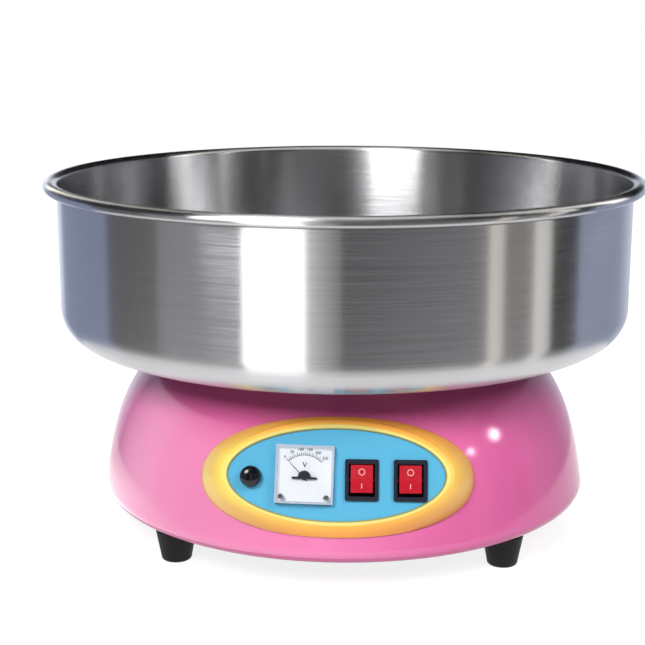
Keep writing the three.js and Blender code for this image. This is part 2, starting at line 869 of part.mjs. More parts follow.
// Spinner head

function makeHeadBase() {
  const bore = shaftRadius + shaftClearance;
  const rimTop = headBottom + headRimHeight;
  const rimInside = headRadius - headRimWall;
  const profile = [
    [bore, hubBottom], [headHubRadius, hubBottom], [headHubRadius, headBottom],
    [headRadius, headBottom], [headRadius, rimTop], [rimInside, rimTop], [rimInside, headFloorTop],
    [headHubRadius, headFloorTop], [headHubRadius, hubTop], [bore, hubTop],
  ];
  return piece('head_base', turned(closed(profile), mediumFacets), castAluminium);
}

function makeMeshBand() {
  const outside = headRadius - bandInset;
  const band = ring(outside - bandWall, outside, bandBottom, bandBottom + bandHeight, bandSlotCount);
  const slot = block(bandWall * 6, bandSlotWidth, bandHeight - 2 * bandSlotMargin, 0, 0,
    bandBottom + bandHeight / 2);
  const slots = aroundAxis(slot, bandSlotCount, outside, 180 / bandSlotCount);
  return piece('mesh_band', cut(band, ...slots), stainless);
}

function makeHeaterRing() {
  const bottom = headFloorTop + seatGap + heaterLegHeight;
  const coil = ring(heaterRadius - heaterWall, heaterRadius, bottom, bottom + heaterHeight, mediumFacets);
  const leg = rod(heaterLegRadius, headFloorTop + seatGap, bottom + 1, screwFacets);
  const legs = aroundAxis(leg, heaterLegCount, heaterRadius - heaterWall / 2);
  return piece('heater_ring', join(coil, ...legs), ceramic);
}

function makeHeadTop() {
  const bore = shaftRadius + shaftClearance;
  const top = headTopBottom + headTopThickness;
  const lip = top + cupLipHeight;
  const profile = [
    [bore, cupBottom], [cupFloorRadius, cupBottom], [cupMouthRadius + cupWall, headTopBottom],
    [headRadius, headTopBottom], [headRadius, top], [cupMouthRadius + 2 * cupWall, top],
    [cupMouthRadius + cupWall, lip], [cupMouthRadius, lip],
    [cupFloorRadius - cupWall, cupBottom + cupWall], [bore, cupBottom + cupWall],
  ];
  const slot = block(cupWall * 6, cupSlotWidth, cupSlotHeight, 0, 0,
    cupBottom + 2 * cupWall + cupSlotHeight / 2);
  const slots = aroundAxis(slot, cupSlotCount, cupFloorRadius, 180 / cupSlotCount);
  return piece('head_top', cut(turned(closed(profile), mediumFacets), ...slots), castAluminium);
}

function makeHeadNut() {
  const blank = rod(headNutRadius, headNutBottom, headNutBottom + headNutHeight, 6);
  const bore = rod(shaftRadius + shaftClearance, headNutBottom - 1, shaftTop + seatGap, mediumFacets);
  return piece('head_nut', cut(blank, bore), brass);
}

// Control panel: bezel with its collar and clips, and the plate behind its lip

function makePanelBezel() {
  const back = -bezelBlankDepth;
  const skirt = Array.from({ length: bezelSkirtSteps + 1 }, (_, i) => (angle) =>
    skirtPoint(angle, 1 - i / bezelSkirtSteps));
  const bead = [[0.8, 0.8], [0.5, 1], [0.2, 0.8], [0, 0.4]].map(([width, height]) => (angle) =>
    [...windowPoint(angle, beadWidth * width), lipBack + beadHeight * height]);
  const blank = loft([
    (angle) => [...windowPoint(angle, 0), back],
    (angle) => [...bezelEdgePoint(angle), back],
    ...skirt,
    ...bead,
  ]);
  const pocketMargin = plateLap + seatGap;
  const collarMargin = pocketMargin + collarWall;
  const hollowPoint = (angle, share) => {
    const room = Math.hypot(...bezelEdgePoint(angle)) - Math.hypot(...windowPoint(angle, beadWidth));
    const first = (collarMargin - beadWidth) / room;
    return skirtPoint(angle, first + (1 - bezelWall / room - first) * share);
  };
  const hollowFront = [1, 0.5, 0].map((share) => (angle) => {
    const [x, y, z] = hollowPoint(angle, share);
    return [x, y, z - bezelWall];
  });
  const hollow = cut(loft([
    (angle) => [...hollowPoint(angle, 0).slice(0, 2), back],
    (angle) => [...hollowPoint(angle, 1).slice(0, 2), back],
    ...hollowFront,
  ]), block(2 * bezelHollowStart, 4 * bezelHalfHeight, 4 * bezelBlankDepth, 0, 0, 0));
  const skin = cut(blank, inPanelFrame(bellSolid(-seatGap)), hollow,
    ovalPrism(pocketMargin, back - 1, lipBack));
  const collar = cut(ovalPrism(collarMargin, back, lipBack + bezelLip / 2),
    ovalPrism(pocketMargin, back - 1, lipBack + bezelLip),
    inPanelFrame(bellSolid(housingWall + collarDepth)));
  const clipPlaces = join(block(clipWidth, bezelHalfHeight * 4, bezelBlankDepth * 3, 0, 0, 0),
    block(bezelHalfWidth * 4, clipWidth, bezelBlankDepth * 3, 0, 0, 0));
  const clipBand = cut(bellSolid(housingWall + seatGap), bellSolid(housingWall + seatGap + clipThickness));
  const clipRing = cut(ovalPrism(collarMargin + clipReach, back, 0),
    ovalPrism(collarMargin - collarWall / 2, back - 1, 1));
  const clips = common(common(clipRing, inPanelFrame(clipBand)), clipPlaces);
  const plateBack = panelFront - plateThickness - seatGap;
  const catchRing = cut(ovalPrism(plateLap + collarWall / 2, plateBack - clipThickness, plateBack),
    ovalPrism(plateLap - clipReach, back, 1));
  return piece('panel_bezel', join(skin, collar, clips, common(catchRing, clipPlaces)), yellowPlastic);
}

function makePanelPlate() {
  const plate = ovalPrism(plateLap, panelFront - plateThickness, panelFront);
  const [low, high] = [panelFront - plateThickness - 1, panelFront + 1];
  const meterHole = rod(meterBarrelRadius + seatGap, low, high, mediumFacets)
    .translate(meterAcross, meterUp, 0);
  const fuseHole = rod(fuseBarrelRadius + seatGap, low, high, mediumFacets)
    .translate(fuseAcross, fuseUp, 0);
  const switchHoles = switchAcross.map((across) => block(switchBodyWidth + 2 * seatGap,
    switchBodyHeight + 2 * seatGap, high - low, across, switchUp, (low + high) / 2));
  return piece('panel_plate', cut(plate, meterHole, fuseHole, ...switchHoles), bluePlastic);
}

// Voltmeter, in a frame centred on its face

const meterCaseBottom = panelFront + seatGap;
const meterCaseTop = meterCaseBottom + meterFlange;
const coverBottom = meterCaseTop + seatGap;
const coverTop = coverBottom + meterCoverHeight;
const coverInside = meterWidth - 2 * meterCoverWall;
const dialTop = coverBottom + dialThickness;
const needleBottom = dialTop + needleLift;

function spindleHole(bottom, top) {
  return rod(needleSpindleRadius * 2, bottom, top, screwFacets).translate(0, -pivotDrop, 0);
}

function coverScrewHoles(bottom, top) {
  const hole = rod(coverScrewRadius + screwClearance, bottom, top, screwFacets);
  return [-1, 1].map((side) => hole.clone().translate(side * coverScrewOffset, -coverScrewOffset, 0));
}

function makeMeterCase() {
  const flange = block(meterWidth, meterWidth, meterFlange, 0, 0, meterCaseBottom + meterFlange / 2);
  const barrel = rod(meterBarrelRadius, meterCaseBottom - meterBarrelLength, meterCaseBottom + 1,
    mediumFacets);
  return piece('meter_case', cut(join(flange, barrel),
    spindleHole(meterCaseTop - needleSpindleLength, meterCaseTop + 1),
    ...coverScrewHoles(meterCaseTop - coverScrewBite - seatGap, meterCaseTop + 1)), whitePlastic);
}

function makeMeterDial() {
  const size = coverInside - 2 * seatGap;
  const plate = block(size, size, dialThickness, 0, 0, coverBottom + dialThickness / 2);
  return piece('meter_dial', cut(plate, spindleHole(coverBottom - 1, dialTop + 1),
    ...coverScrewHoles(coverBottom - 1, dialTop + 1)), whitePlastic);
}

function makeMeterNeedle() {
  const top = needleBottom + needleThickness;
  const outline = [
    [-needleTail, needleWidth / 2], [-needleTail, -needleWidth / 2], [needleLength, -needleWidth / 6],
    [needleLength, needleWidth / 6],
  ];
  const blade = prism(outline, needleBottom, top);
  const hub = rod(needleHubRadius, needleBottom - needleThickness / 2, top + needleThickness / 2,
    screwFacets);
  const spindle = rod(needleSpindleRadius, meterCaseTop - needleSpindleLength + seatGap, needleBottom,
    screwFacets);
  const needle = piece('meter_needle', join(blade, hub, spindle), blackPlastic, 0, -pivotDrop, 0);
  needle.rotation.z = Math.PI / 2 + radians(needleSweepDegrees / 2);
  return needle;
}

function makeMeterShroud() {
  const bottom = dialTop + shroudLift;
  const halfBar = shroudBarHeight / 2;
  const outline = [
    [-shroudHalfWidth, -halfBar], [shroudHalfWidth, -halfBar], [shroudHalfWidth, halfBar],
    ...arc(0, halfBar, shroudRadius, 0, 180, cornerSteps * 2), [-shroudHalfWidth, halfBar],
  ];
  const plate = prism(outline, bottom, bottom + shroudThickness);
  const postFoot = dialTop + seatGap;
  const postTop = bottom + shroudThickness / 2;
  const posts = [-1, 1].map((side) => block(halfBar * 2, halfBar * 1.8, postTop - postFoot,
    side * (shroudHalfWidth - halfBar), 0, (postFoot + postTop) / 2));
  return piece('meter_shroud', join(plate, ...posts), blackPlastic, 0, -pivotDrop, 0);
}

function makeMeterCover() {
  const reach = meterWidth / Math.SQRT2;
  const faceReach = reach - meterCoverBevel * Math.SQRT2;
  const profile = [
    [0, coverBottom], [reach, coverBottom], [reach, coverTop - meterCoverBevel],
    [faceReach, coverTop], [0, coverTop],
  ];
  const blank = turned(profile, 4).rotateZ(Math.PI / 4);
  const ceiling = coverTop - meterCoverWall;
  const hollow = block(coverInside, coverInside, ceiling - coverBottom + 1, 0, 0,
    (ceiling + coverBottom - 1) / 2);
  return piece('meter_cover', cut(blank, hollow, ...coverScrewHoles(coverBottom, coverTop + 1)),
    clearPlastic);
}

function makeMeterCoverScrew(name, side) {
  const screw = panScrew(coverScrewRadius, coverTop - meterCaseTop + coverScrewBite,
    coverScrewRadius * 1.5, coverScrewHeadHeight);
  return piece(name, screw, blackPlastic, side * coverScrewOffset, -coverScrewOffset, coverTop);
}

// Fuse holder, in a frame centred on its cap

const fuseFlangeBottom = panelFront + seatGap;
const fuseFlangeTop = fuseFlangeBottom + fuseFlangeThickness;
const fuseLinkTop = fuseFlangeTop - fuseCapNeckLength;

function makeFuseHolder() {
  const bore = fuseLinkRadius + 2 * seatGap;
  const bottom = panelFront - fuseBarrelLength;
  const profile = [
    [0, bottom], [fuseBarrelRadius, bottom], [fuseBarrelRadius, fuseFlangeBottom],
    [fuseFlangeRadius, fuseFlangeBottom], [fuseFlangeRadius, fuseFlangeTop], [bore, fuseFlangeTop],
    [bore, fuseLinkTop - fuseLinkLength - seatGap], [0, fuseLinkTop - fuseLinkLength - seatGap],
  ];
  return piece('fuse_holder', turned(profile, mediumFacets), blackPlastic);
}

function makeFuseCap() {
  const bottom = fuseFlangeTop + seatGap;
  const neck = fuseLinkRadius + seatGap;
  const rimHeight = fuseCapHeight * 0.35;
  const dome = arc(0, 0, 1, 0, 90, cornerSteps + 1).map(([across, up]) =>
    [fuseFlangeRadius * across, bottom + rimHeight + (fuseCapHeight - rimHeight) * up]);
  const profile = [
    [0, bottom - fuseCapNeckLength], [neck, bottom - fuseCapNeckLength], [neck, bottom],
    [fuseFlangeRadius, bottom], ...dome,
  ];
  return piece('fuse_cap', turned(profile, mediumFacets), blackPlastic);
}

function makeFuseLink() {
  return piece('fuse_link', rod(fuseLinkRadius, fuseLinkTop - fuseLinkLength, fuseLinkTop, smallFacets),
    zincPlated);
}

function makeFuseNut() {
  const top = panelFront - plateThickness - seatGap;
  const blank = rod(fuseNutRadius, top - fuseNutHeight, top, 6);
  const hole = rod(fuseBarrelRadius + screwClearance, top - fuseNutHeight - 1, top + 1, mediumFacets);
  return piece('fuse_nut', cut(blank, hole), blackPlastic);
}

// Rocker switches, each in a frame centred on its face

function makeSwitchBody(name) {
  const frameBottom = panelFront + seatGap;
  const frameTop = frameBottom + switchFrameThickness;
  const frame = prism(roundedOutline(switchFrameWidth, switchFrameHeight, switchFrameCorner),
    frameBottom, frameTop);
  const bottom = panelFront - switchBodyDepth;
  const body = block(switchBodyWidth, switchBodyHeight, frameBottom + 1 - bottom, 0, 0,
    (frameBottom + 1 + bottom) / 2);
  const floor = panelFront - switchWellDepth;
  const well = block(switchWellWidth, switchWellHeight, frameTop + 1 - floor, 0, 0,
    (frameTop + 1 + floor) / 2);
  return piece(name, cut(join(frame, body), well), blackPlastic);
}

function makeRocker(name) {
  const end = rockerCrown + rockerHalfHeight * Math.tan(radians(rockerThrowDegrees / 2));
  const foot = rockerHalfHeight - rockerFootInset;
  const outline = [
    [rockerHalfHeight, end], [0, rockerCrown], [-rockerHalfHeight, end], [-foot, -1],
    [-rockerKeelHalfWidth, -rockerKeel], [rockerKeelHalfWidth, -rockerKeel], [foot, -1],
  ];
  const paddle = prism(outline, -rockerWidth / 2, rockerWidth / 2);
  const pinReach = switchWellWidth / 2 - seatGap;
  const shape = join(paddle, rod(rockerPinRadius, -pinReach, pinReach, screwFacets))
    .rotateX(Math.PI / 2).rotateZ(Math.PI / 2);
  const rocker = piece(name, shape, redPlastic, 0, 0, panelFront - pivotBelowPlate);
  rocker.rotation.x = -radians(rockerThrowDegrees / 2);
  return rocker;
}

// Terminal block and cord grommet

function makeTerminalBlock() {
  const bottom = basePlateTop + seatGap;
  const wallTop = terminalHeight + terminalWallHeight;
  const base = block(terminalLength, terminalWidth, terminalHeight, 0, 0, bottom + terminalHeight / 2);
  const pitch = (terminalLength - terminalWallThickness) / terminalWays;
  const walls = Array.from({ length: terminalWays + 1 }, (_, i) => block(terminalWallThickness,
    terminalWidth, wallTop, (i - terminalWays / 2) * pitch, 0, bottom + wallTop / 2));
  return piece('terminal_block', join(base, ...walls), creamPlastic, 0, terminalBack);
}

function makeGrommet() {
  const middle = flankAt(grommetHeight).radius - housingWall / 2;
  const reach = housingWall + grommetFlangeThickness;
  const lay = (radius, extra) => rod(radius, middle - reach - extra, middle + reach + extra, mediumFacets)
    .rotateX(-Math.PI / 2).translate(0, 0, grommetHeight);
  const wall = cut(bellSolid(-seatGap), bellSolid(housingWall + seatGap));
  const shape = cut(join(cut(lay(grommetFlangeRadius, 0), wall), lay(grommetNeckRadius, 0)),
    lay(grommetBoreRadius, 1));
  return piece('cord_grommet', shape, blackRubber);
}

// Assembly

const machine = new THREE.Group();
machine.add(makeBowl(), ...makeThumbScrews(), makeGasket(), makeHousing(), makeBasePlate());
machine.add(makeTurret(), ...makeMotorScrews(), makeMountRing(), makeEndBell(), makeMotorCan());
machine.add(makeStator(), makeBrushHolder(), makeTerminalBlock(), makeGrommet());
machine.add(makeBearing('motor_bearing_lower', canBottom + motorCanWall + seatGap));
machine.add(makeBearing('motor_bearing_upper', endBellBottom - bearingShoulder - seatGap));

for (const [end, y] of [['front', -footOffset], ['rear', footOffset]]) {
  for (const [side, x] of [['left', -footOffset], ['right', footOffset]]) {
    machine.add(makeFoot('foot_' + end + '_' + side, x, y));
    machine.add(makeFootBolt('foot_bolt_' + end + '_' + side, x, y));
  }
}

const spinner = new THREE.Group();
spinner.add(makeShaft(), makeRotor(), makeFan(), makeSleeve(), makeHeadBase(), makeMeshBand());
spinner.add(makeHeaterRing(), makeHeadTop(), makeHeadNut());
['lower', 'upper'].forEach((level, i) => {
  spinner.add(makeSlipRing('slip_ring_' + level, slipRingBottoms[i]));
  machine.add(makeBrush('carbon_brush_' + level, slipRingBottoms[i]));
  machine.add(makeBrushSpring('brush_spring_' + level, slipRingBottoms[i]));
});
machine.add(spinner);

const meter = new THREE.Group();
meter.position.set(meterAcross, meterUp, 0);
meter.rotation.z = radians(meterTurnDegrees);
meter.add(makeMeterCase(), makeMeterDial(), makeMeterNeedle(), makeMeterShroud(), makeMeterCover());
meter.add(makeMeterCoverScrew('meter_cover_screw_left', -1));
meter.add(makeMeterCoverScrew('meter_cover_screw_right', 1));

const fuse = new THREE.Group();
fuse.position.set(fuseAcross, fuseUp, 0);
fuse.add(makeFuseHolder(), makeFuseNut(), makeFuseLink(), makeFuseCap());

panelGroup.add(makePanelBezel(), makePanelPlate(), meter, fuse);
['motor_switch', 'heat_switch'].forEach((name, i) => {
  const switchGroup = new THREE.Group();
  switchGroup.position.set(switchAcross[i], switchUp, 0);
  switchGroup.add(makeSwitchBody(name + '_body'), makeRocker(name + '_rocker'));
  panelGroup.add(switchGroup);
});
machine.add(panelGroup);

export default machine;
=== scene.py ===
# Table-top candy floss machine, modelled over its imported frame.
# Metres, +Z up. The spinner's axis is the Z axis, and the control panel faces -Y.
import json
from math import atan2, cos, hypot, pi, radians, sin, tan

import bmesh
import bpy
from mathutils import Matrix, Vector

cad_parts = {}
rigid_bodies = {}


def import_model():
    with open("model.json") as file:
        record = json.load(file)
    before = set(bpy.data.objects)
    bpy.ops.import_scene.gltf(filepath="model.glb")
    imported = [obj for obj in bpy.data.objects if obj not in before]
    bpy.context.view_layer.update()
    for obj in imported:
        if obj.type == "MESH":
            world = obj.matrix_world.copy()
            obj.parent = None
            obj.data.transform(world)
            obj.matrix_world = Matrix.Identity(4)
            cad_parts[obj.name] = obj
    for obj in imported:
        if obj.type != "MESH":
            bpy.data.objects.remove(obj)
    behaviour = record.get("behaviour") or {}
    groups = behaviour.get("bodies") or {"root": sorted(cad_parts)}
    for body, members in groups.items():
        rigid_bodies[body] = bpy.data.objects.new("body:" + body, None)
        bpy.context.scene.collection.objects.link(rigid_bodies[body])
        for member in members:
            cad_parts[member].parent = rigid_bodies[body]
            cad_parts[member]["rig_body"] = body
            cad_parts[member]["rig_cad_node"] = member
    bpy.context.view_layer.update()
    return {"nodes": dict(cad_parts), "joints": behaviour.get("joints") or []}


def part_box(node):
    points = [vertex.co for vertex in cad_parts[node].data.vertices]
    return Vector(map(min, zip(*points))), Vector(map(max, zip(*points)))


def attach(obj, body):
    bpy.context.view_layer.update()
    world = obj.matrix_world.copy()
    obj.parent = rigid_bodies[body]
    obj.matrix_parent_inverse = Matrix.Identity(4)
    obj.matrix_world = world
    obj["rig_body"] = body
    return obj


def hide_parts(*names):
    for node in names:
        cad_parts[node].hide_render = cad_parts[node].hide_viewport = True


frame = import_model()

# Housing
# A bell drawn from 2 mm steel sheet, hemmed under at the bottom and flat on top, with an oval window for
# the control panel and a hole for the cord. It is sprayed with pink enamel and baked.

HOUSING_WALL = 0.002
HEM_RADIUS = 0.0097
HEM_FLANGE_RADIUS = 0.172
DECK_EDGE_RADIUS = 0.1526
DECK_HOLE_RADIUS = 0.024
FLANK_LEAN = radians(9.4)
FLANK_REACH = 0.0415
SHOULDER_LEAN = radians(49.5)
SHOULDER_REACH = 0.0664
FLANK_STEPS = 40
WINDOW_HALF_WIDTH = 0.084
WINDOW_HALF_HEIGHT = 0.0353
WINDOW_CUT_MARGIN = 0.0075
WINDOW_TOOL_DEPTH = 0.08
WINDOW_TOOL_SINK = 0.03
GROMMET_NECK_RADIUS = 0.008
GROMMET_NECK_OFFSET = 0.007
GROMMET_TOOL_DEPTH = 0.04
ROUND_STEPS = 256

housing_low, housing_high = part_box("housing")
grommet_low, grommet_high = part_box("cord_grommet")
grommet_height = (grommet_low.z + grommet_high.z) / 2
knee = Vector((housing_high.x, housing_low.z + HEM_RADIUS))
deck_edge = Vector((DECK_EDGE_RADIUS, housing_high.z))
flank_handle = knee + FLANK_REACH * Vector((-sin(FLANK_LEAN), cos(FLANK_LEAN)))
shoulder_handle = deck_edge + SHOULDER_REACH * Vector((sin(SHOULDER_LEAN), -cos(SHOULDER_LEAN)))


def flank_point(share):
    """A point (radius, height) on the flank's curve, from the knee at 0 to the deck's edge at 1."""
    rest = 1 - share
    return (rest ** 3 * knee + 3 * rest ** 2 * share * flank_handle
            + 3 * rest * share ** 2 * shoulder_handle + share ** 3 * deck_edge)


def arc(centre, radius, start, end, steps):
    """Points on a round corner, angles in degrees."""
    angles = [radians(start + (end - start) * i / steps) for i in range(steps + 1)]
    return [(centre[0] + radius * cos(a), centre[1] + radius * sin(a)) for a in angles]


def clear_selection():
    """Object mode, with nothing selected."""
    if bpy.context.object and bpy.context.object.mode != "OBJECT":
        bpy.ops.object.mode_set(mode="OBJECT")
    bpy.ops.object.select_all(action="DESELECT")


def select_only(piece):
    clear_selection()
    piece.select_set(True)
    bpy.context.view_layer.objects.active = piece


def settle(piece, place=None):
    """Applies a place to the mesh, so that the object itself sits at the origin."""
    select_only(piece)
    if place is not None:
        piece.matrix_world = place
    bpy.ops.object.transform_apply(location=True, rotation=True, scale=True)


def draw_chain(name, points, closed=False):
    """Edges drawn one after another through points in 3D, left selected in edit mode."""
    clear_selection()
    bpy.ops.mesh.primitive_plane_add(size=0.001, location=points[0])
    piece = bpy.context.object
    piece.name = name
    settle(piece)
    bpy.ops.object.mode_set(mode="EDIT")
    bpy.ops.mesh.select_all(action="SELECT")
    bpy.ops.mesh.merge(type="CENTER")
    for here, there in zip(points, points[1:]):
        step = Vector(there) - Vector(here)
        bpy.ops.mesh.extrude_region_move(TRANSFORM_OT_translate={"value": step})
    if closed:
        drawing = bmesh.from_edit_mesh(piece.data)
        drawing.verts.ensure_lookup_table()
        drawing.verts[0].select = True
        bmesh.update_edit_mesh(piece.data)
        bpy.ops.mesh.edge_face_add()
    bpy.ops.mesh.select_all(action="SELECT")
    return piece


def finish_mesh(piece, smooth_degrees=35):
    """Merges doubles, turns the faces outwards and shades them smooth up to an angle."""
    select_only(piece)
    bpy.ops.object.mode_set(mode="EDIT")
    bpy.ops.mesh.select_all(action="SELECT")
    bpy.ops.mesh.remove_doubles(threshold=2e-6)
    bpy.ops.mesh.normals_make_consistent(inside=False)
    bpy.ops.object.mode_set(mode="OBJECT")
    bpy.ops.object.shade_smooth_by_angle(angle=radians(smooth_degrees))


def turned(name, profile, closed=False, steps=ROUND_STEPS, smooth_degrees=35):
    """A profile of (radius, height) points spun a full turn about Z."""
    piece = draw_chain(name, [(radius, 0, height) for radius, height in profile], closed)
    bpy.ops.mesh.spin(steps=steps, angle=2 * pi, center=(0, 0, 0), axis=(0, 0, 1))
    finish_mesh(piece, smooth_degrees)
    return piece


def modify(piece, kind, **settings):
    """Adds a modifier with its settings and applies it."""
    select_only(piece)
    modifier = piece.modifiers.new(kind.title(), kind)
    for setting, value in settings.items():
        setattr(modifier, setting, value)
    bpy.ops.object.modifier_apply(modifier=modifier.name)


def cut_away(piece, tool):
    """Cuts a tool's shape out of a piece, and removes the tool."""
    modify(piece, "BOOLEAN", object=tool, operation="DIFFERENCE", solver="EXACT")
    bpy.data.objects.remove(tool)


def linear(hex_colour):
    """An sRGB hex colour as linear red, green, blue and alpha."""
    channels = [int(hex_colour[i:i + 2], 16) / 255 for i in (1, 3, 5)]
    return (*[c / 12.92 if c <= 0.04045 else ((c + 0.055) / 1.055) ** 2.4 for c in channels], 1)


def new_material(name):
    material = bpy.data.materials.new(name)
    material.use_nodes = True
    material.node_tree.nodes.clear()
    return material, material.node_tree


def add_node(tree, kind, inputs=None, **settings):
    """A shader node with its settings. An input that is given a socket is linked to it."""
    node = tree.nodes.new("ShaderNode" + kind)
    for setting, value in settings.items():
        setattr(node, setting, value)
    for socket, value in (inputs or {}).items():
        if isinstance(value, bpy.types.NodeSocket):
            tree.links.new(value, node.inputs[socket])
        else:
            node.inputs[socket].default_value = value
    return node


def put_on(piece, material, body):
    """Gives a piece its material and its body."""
    if material is not None:
        piece.data.materials.clear()
        piece.data.materials.append(material)
    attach(piece, body)


# The panel's own frame: X across it, Y up it and Z out of the housing
fuse_pivot = Vector(next(j for j in frame["joints"] if j["name"] == "fuse_cap_turn")["pos_m"])
panel_out = Vector(next(j for j in frame["joints"] if j["name"] == "fuse_draw")["axis"]).normalized()
panel_up = panel_out.cross(Vector((1, 0, 0)))
FUSE_PLACE = Vector((-0.066, -0.0017, 0))
panel_axes = Matrix((Vector((1, 0, 0)), panel_up, panel_out)).transposed()
panel_frame = Matrix.Translation(fuse_pivot - panel_axes @ FUSE_PLACE) @ panel_axes.to_4x4()

hem = arc((knee.x - HEM_RADIUS, knee.y), HEM_RADIUS, 270, 360, 8)
flank = [tuple(flank_point(i / FLANK_STEPS)) for i in range(1, FLANK_STEPS + 1)]
housing_outline = [
    (HEM_FLANGE_RADIUS, housing_low.z), *hem, *flank, (DECK_HOLE_RADIUS, housing_high.z)]
housing = turned("housing_bell", housing_outline)
modify(housing, "SOLIDIFY", thickness=HOUSING_WALL, offset=-1)

clear_selection()
bpy.ops.mesh.primitive_cylinder_add(vertices=128, radius=1, depth=WINDOW_TOOL_DEPTH)
window_tool = bpy.context.object
window_size = (WINDOW_HALF_WIDTH + WINDOW_CUT_MARGIN, WINDOW_HALF_HEIGHT + WINDOW_CUT_MARGIN, 1)
settle(window_tool,
       panel_frame @ Matrix.Translation((0, 0, -WINDOW_TOOL_SINK)) @ Matrix.Diagonal((*window_size, 1)))
cut_away(housing, window_tool)
clear_selection()
bpy.ops.mesh.primitive_cylinder_add(
    vertices=48, radius=GROMMET_NECK_RADIUS, depth=GROMMET_TOOL_DEPTH, rotation=(pi / 2, 0, 0),
    location=(0, grommet_low.y + GROMMET_NECK_OFFSET, grommet_height))
grommet_tool = bpy.context.object
settle(grommet_tool)
cut_away(housing, grommet_tool)
finish_mesh(housing)

# Baked enamel: a hard glossy coat, a little uneven like orange peel, that drifts slightly in its depth.
PEEL_SIZE = 0.003
DRIFT_SIZE = 0.15
pink_enamel, tree = new_material("baked pink enamel")
place = add_node(tree, "TexCoord").outputs["Object"]
peel = add_node(tree, "TexNoise", {"Vector": place, "Scale": 1 / PEEL_SIZE, "Detail": 1.0})
bump = add_node(tree, "Bump", {"Height": peel.outputs["Fac"], "Strength": 0.03, "Distance": 0.0002})
drift = add_node(tree, "TexNoise", {"Vector": place, "Scale": 1 / DRIFT_SIZE, "Detail": 2.0})
pink = add_node(tree, "Mix", {
    0: drift.outputs["Fac"], 6: linear("#df64a1"), 7: linear("#e36fa9")}, data_type="RGBA")
enamel = add_node(tree, "BsdfPrincipled", {
    "Base Color": pink.outputs[2], "Roughness": 0.12, "IOR": 1.5,
    "Normal": bump.outputs["Normal"]})
add_node(tree, "OutputMaterial", {"Surface": enamel.outputs["BSDF"]})
put_on(housing, pink_enamel, "base")
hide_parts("housing")

# Feet
# Four tapered blocks moulded in hard black rubber, each bolted up through a counterbore in its sole.
# The moulded edges are rounded, and the rubber is almost matt with a fine grain.

FOOT_SOLE_RADIUS = 0.0126
FOOT_TOP_RADIUS = 0.017
FOOT_EDGE = 0.0025
FOOT_CHAMFER = 0.0005
FOOT_BORE_RADIUS = 0.0033
FOOT_COUNTERBORE_RADIUS = 0.0075
FOOT_COUNTERBORE_DEPTH = 0.01

GRAIN_SIZE = 0.0006


def moulded(name, colour, roughness, grain=0.15, coat=0.0, shine=0.5):
    """Moulded plastic or rubber: one colour all through, with the fine even grain of the mould."""
    material, tree = new_material(name)
    place = add_node(tree, "TexCoord").outputs["Object"]
    grains = add_node(tree, "TexNoise", {"Vector": place, "Scale": 1 / GRAIN_SIZE, "Detail": 2.0})
    bump = add_node(tree, "Bump", {
        "Height": grains.outputs["Fac"], "Strength": grain, "Distance": 0.00005})
    sheen = add_node(tree, "MapRange", {
        "Value": grains.outputs["Fac"], "To Min": roughness * 0.85, "To Max": roughness * 1.15})
    shader = add_node(tree, "BsdfPrincipled", {
        "Base Color": linear(colour), "Roughness": sheen.outputs["Result"], "IOR": 1.5,
        "Specular IOR Level": shine, "Coat Weight": coat, "Coat Roughness": 0.1,
        "Normal": bump.outputs["Normal"]})
    add_node(tree, "OutputMaterial", {"Surface": shader.outputs["BSDF"]})
    return material


def copy_of(piece, name, place):
    """A copy with a mesh of its own, put in its place."""
    select_only(piece)
    bpy.ops.object.duplicate(linked=False)
    twin = bpy.context.object
    twin.name = name
    settle(twin, place)
    return twin


def middle_of(node, height):
    """A place at the middle of a frame node as seen from above, at a height."""
    low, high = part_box(node)
    return Matrix.Translation(((low.x + high.x) / 2, (low.y + high.y) / 2, height))


black_rubber = moulded("moulded black rubber", "#0f1014", 0.6, grain=0.4, shine=0.3)
foot_low, foot_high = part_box("foot_front_left")
foot_profile = [
    (FOOT_COUNTERBORE_RADIUS, foot_low.z), (FOOT_SOLE_RADIUS - FOOT_EDGE, foot_low.z),
    *arc((FOOT_SOLE_RADIUS - FOOT_EDGE, FOOT_EDGE), FOOT_EDGE, 285, 350, 4),
    (FOOT_TOP_RADIUS, foot_high.z - 2 * FOOT_CHAMFER), (FOOT_TOP_RADIUS - FOOT_CHAMFER, foot_high.z),
    (FOOT_BORE_RADIUS, foot_high.z), (FOOT_BORE_RADIUS, FOOT_COUNTERBORE_DEPTH),
    (FOOT_COUNTERBORE_RADIUS, FOOT_COUNTERBORE_DEPTH)]
foot_pattern = turned("foot_pattern", foot_profile, closed=True, steps=64)
for corner in ("front_left", "front_right", "rear_left", "rear_right"):
    foot = copy_of(foot_pattern, "rubber_foot_" + corner, middle_of("foot_" + corner, 0))
    put_on(foot, black_rubber, "base")
    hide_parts("foot_" + corner)
bpy.data.objects.remove(foot_pattern)

# Base plate and foot bolts
# A steel disc with a ring of air slots under the motor, and four hexagon bolts, all zinc plated. The plate
# and bolts keep their frame shapes; plating gives a pale, slightly cloudy grey.


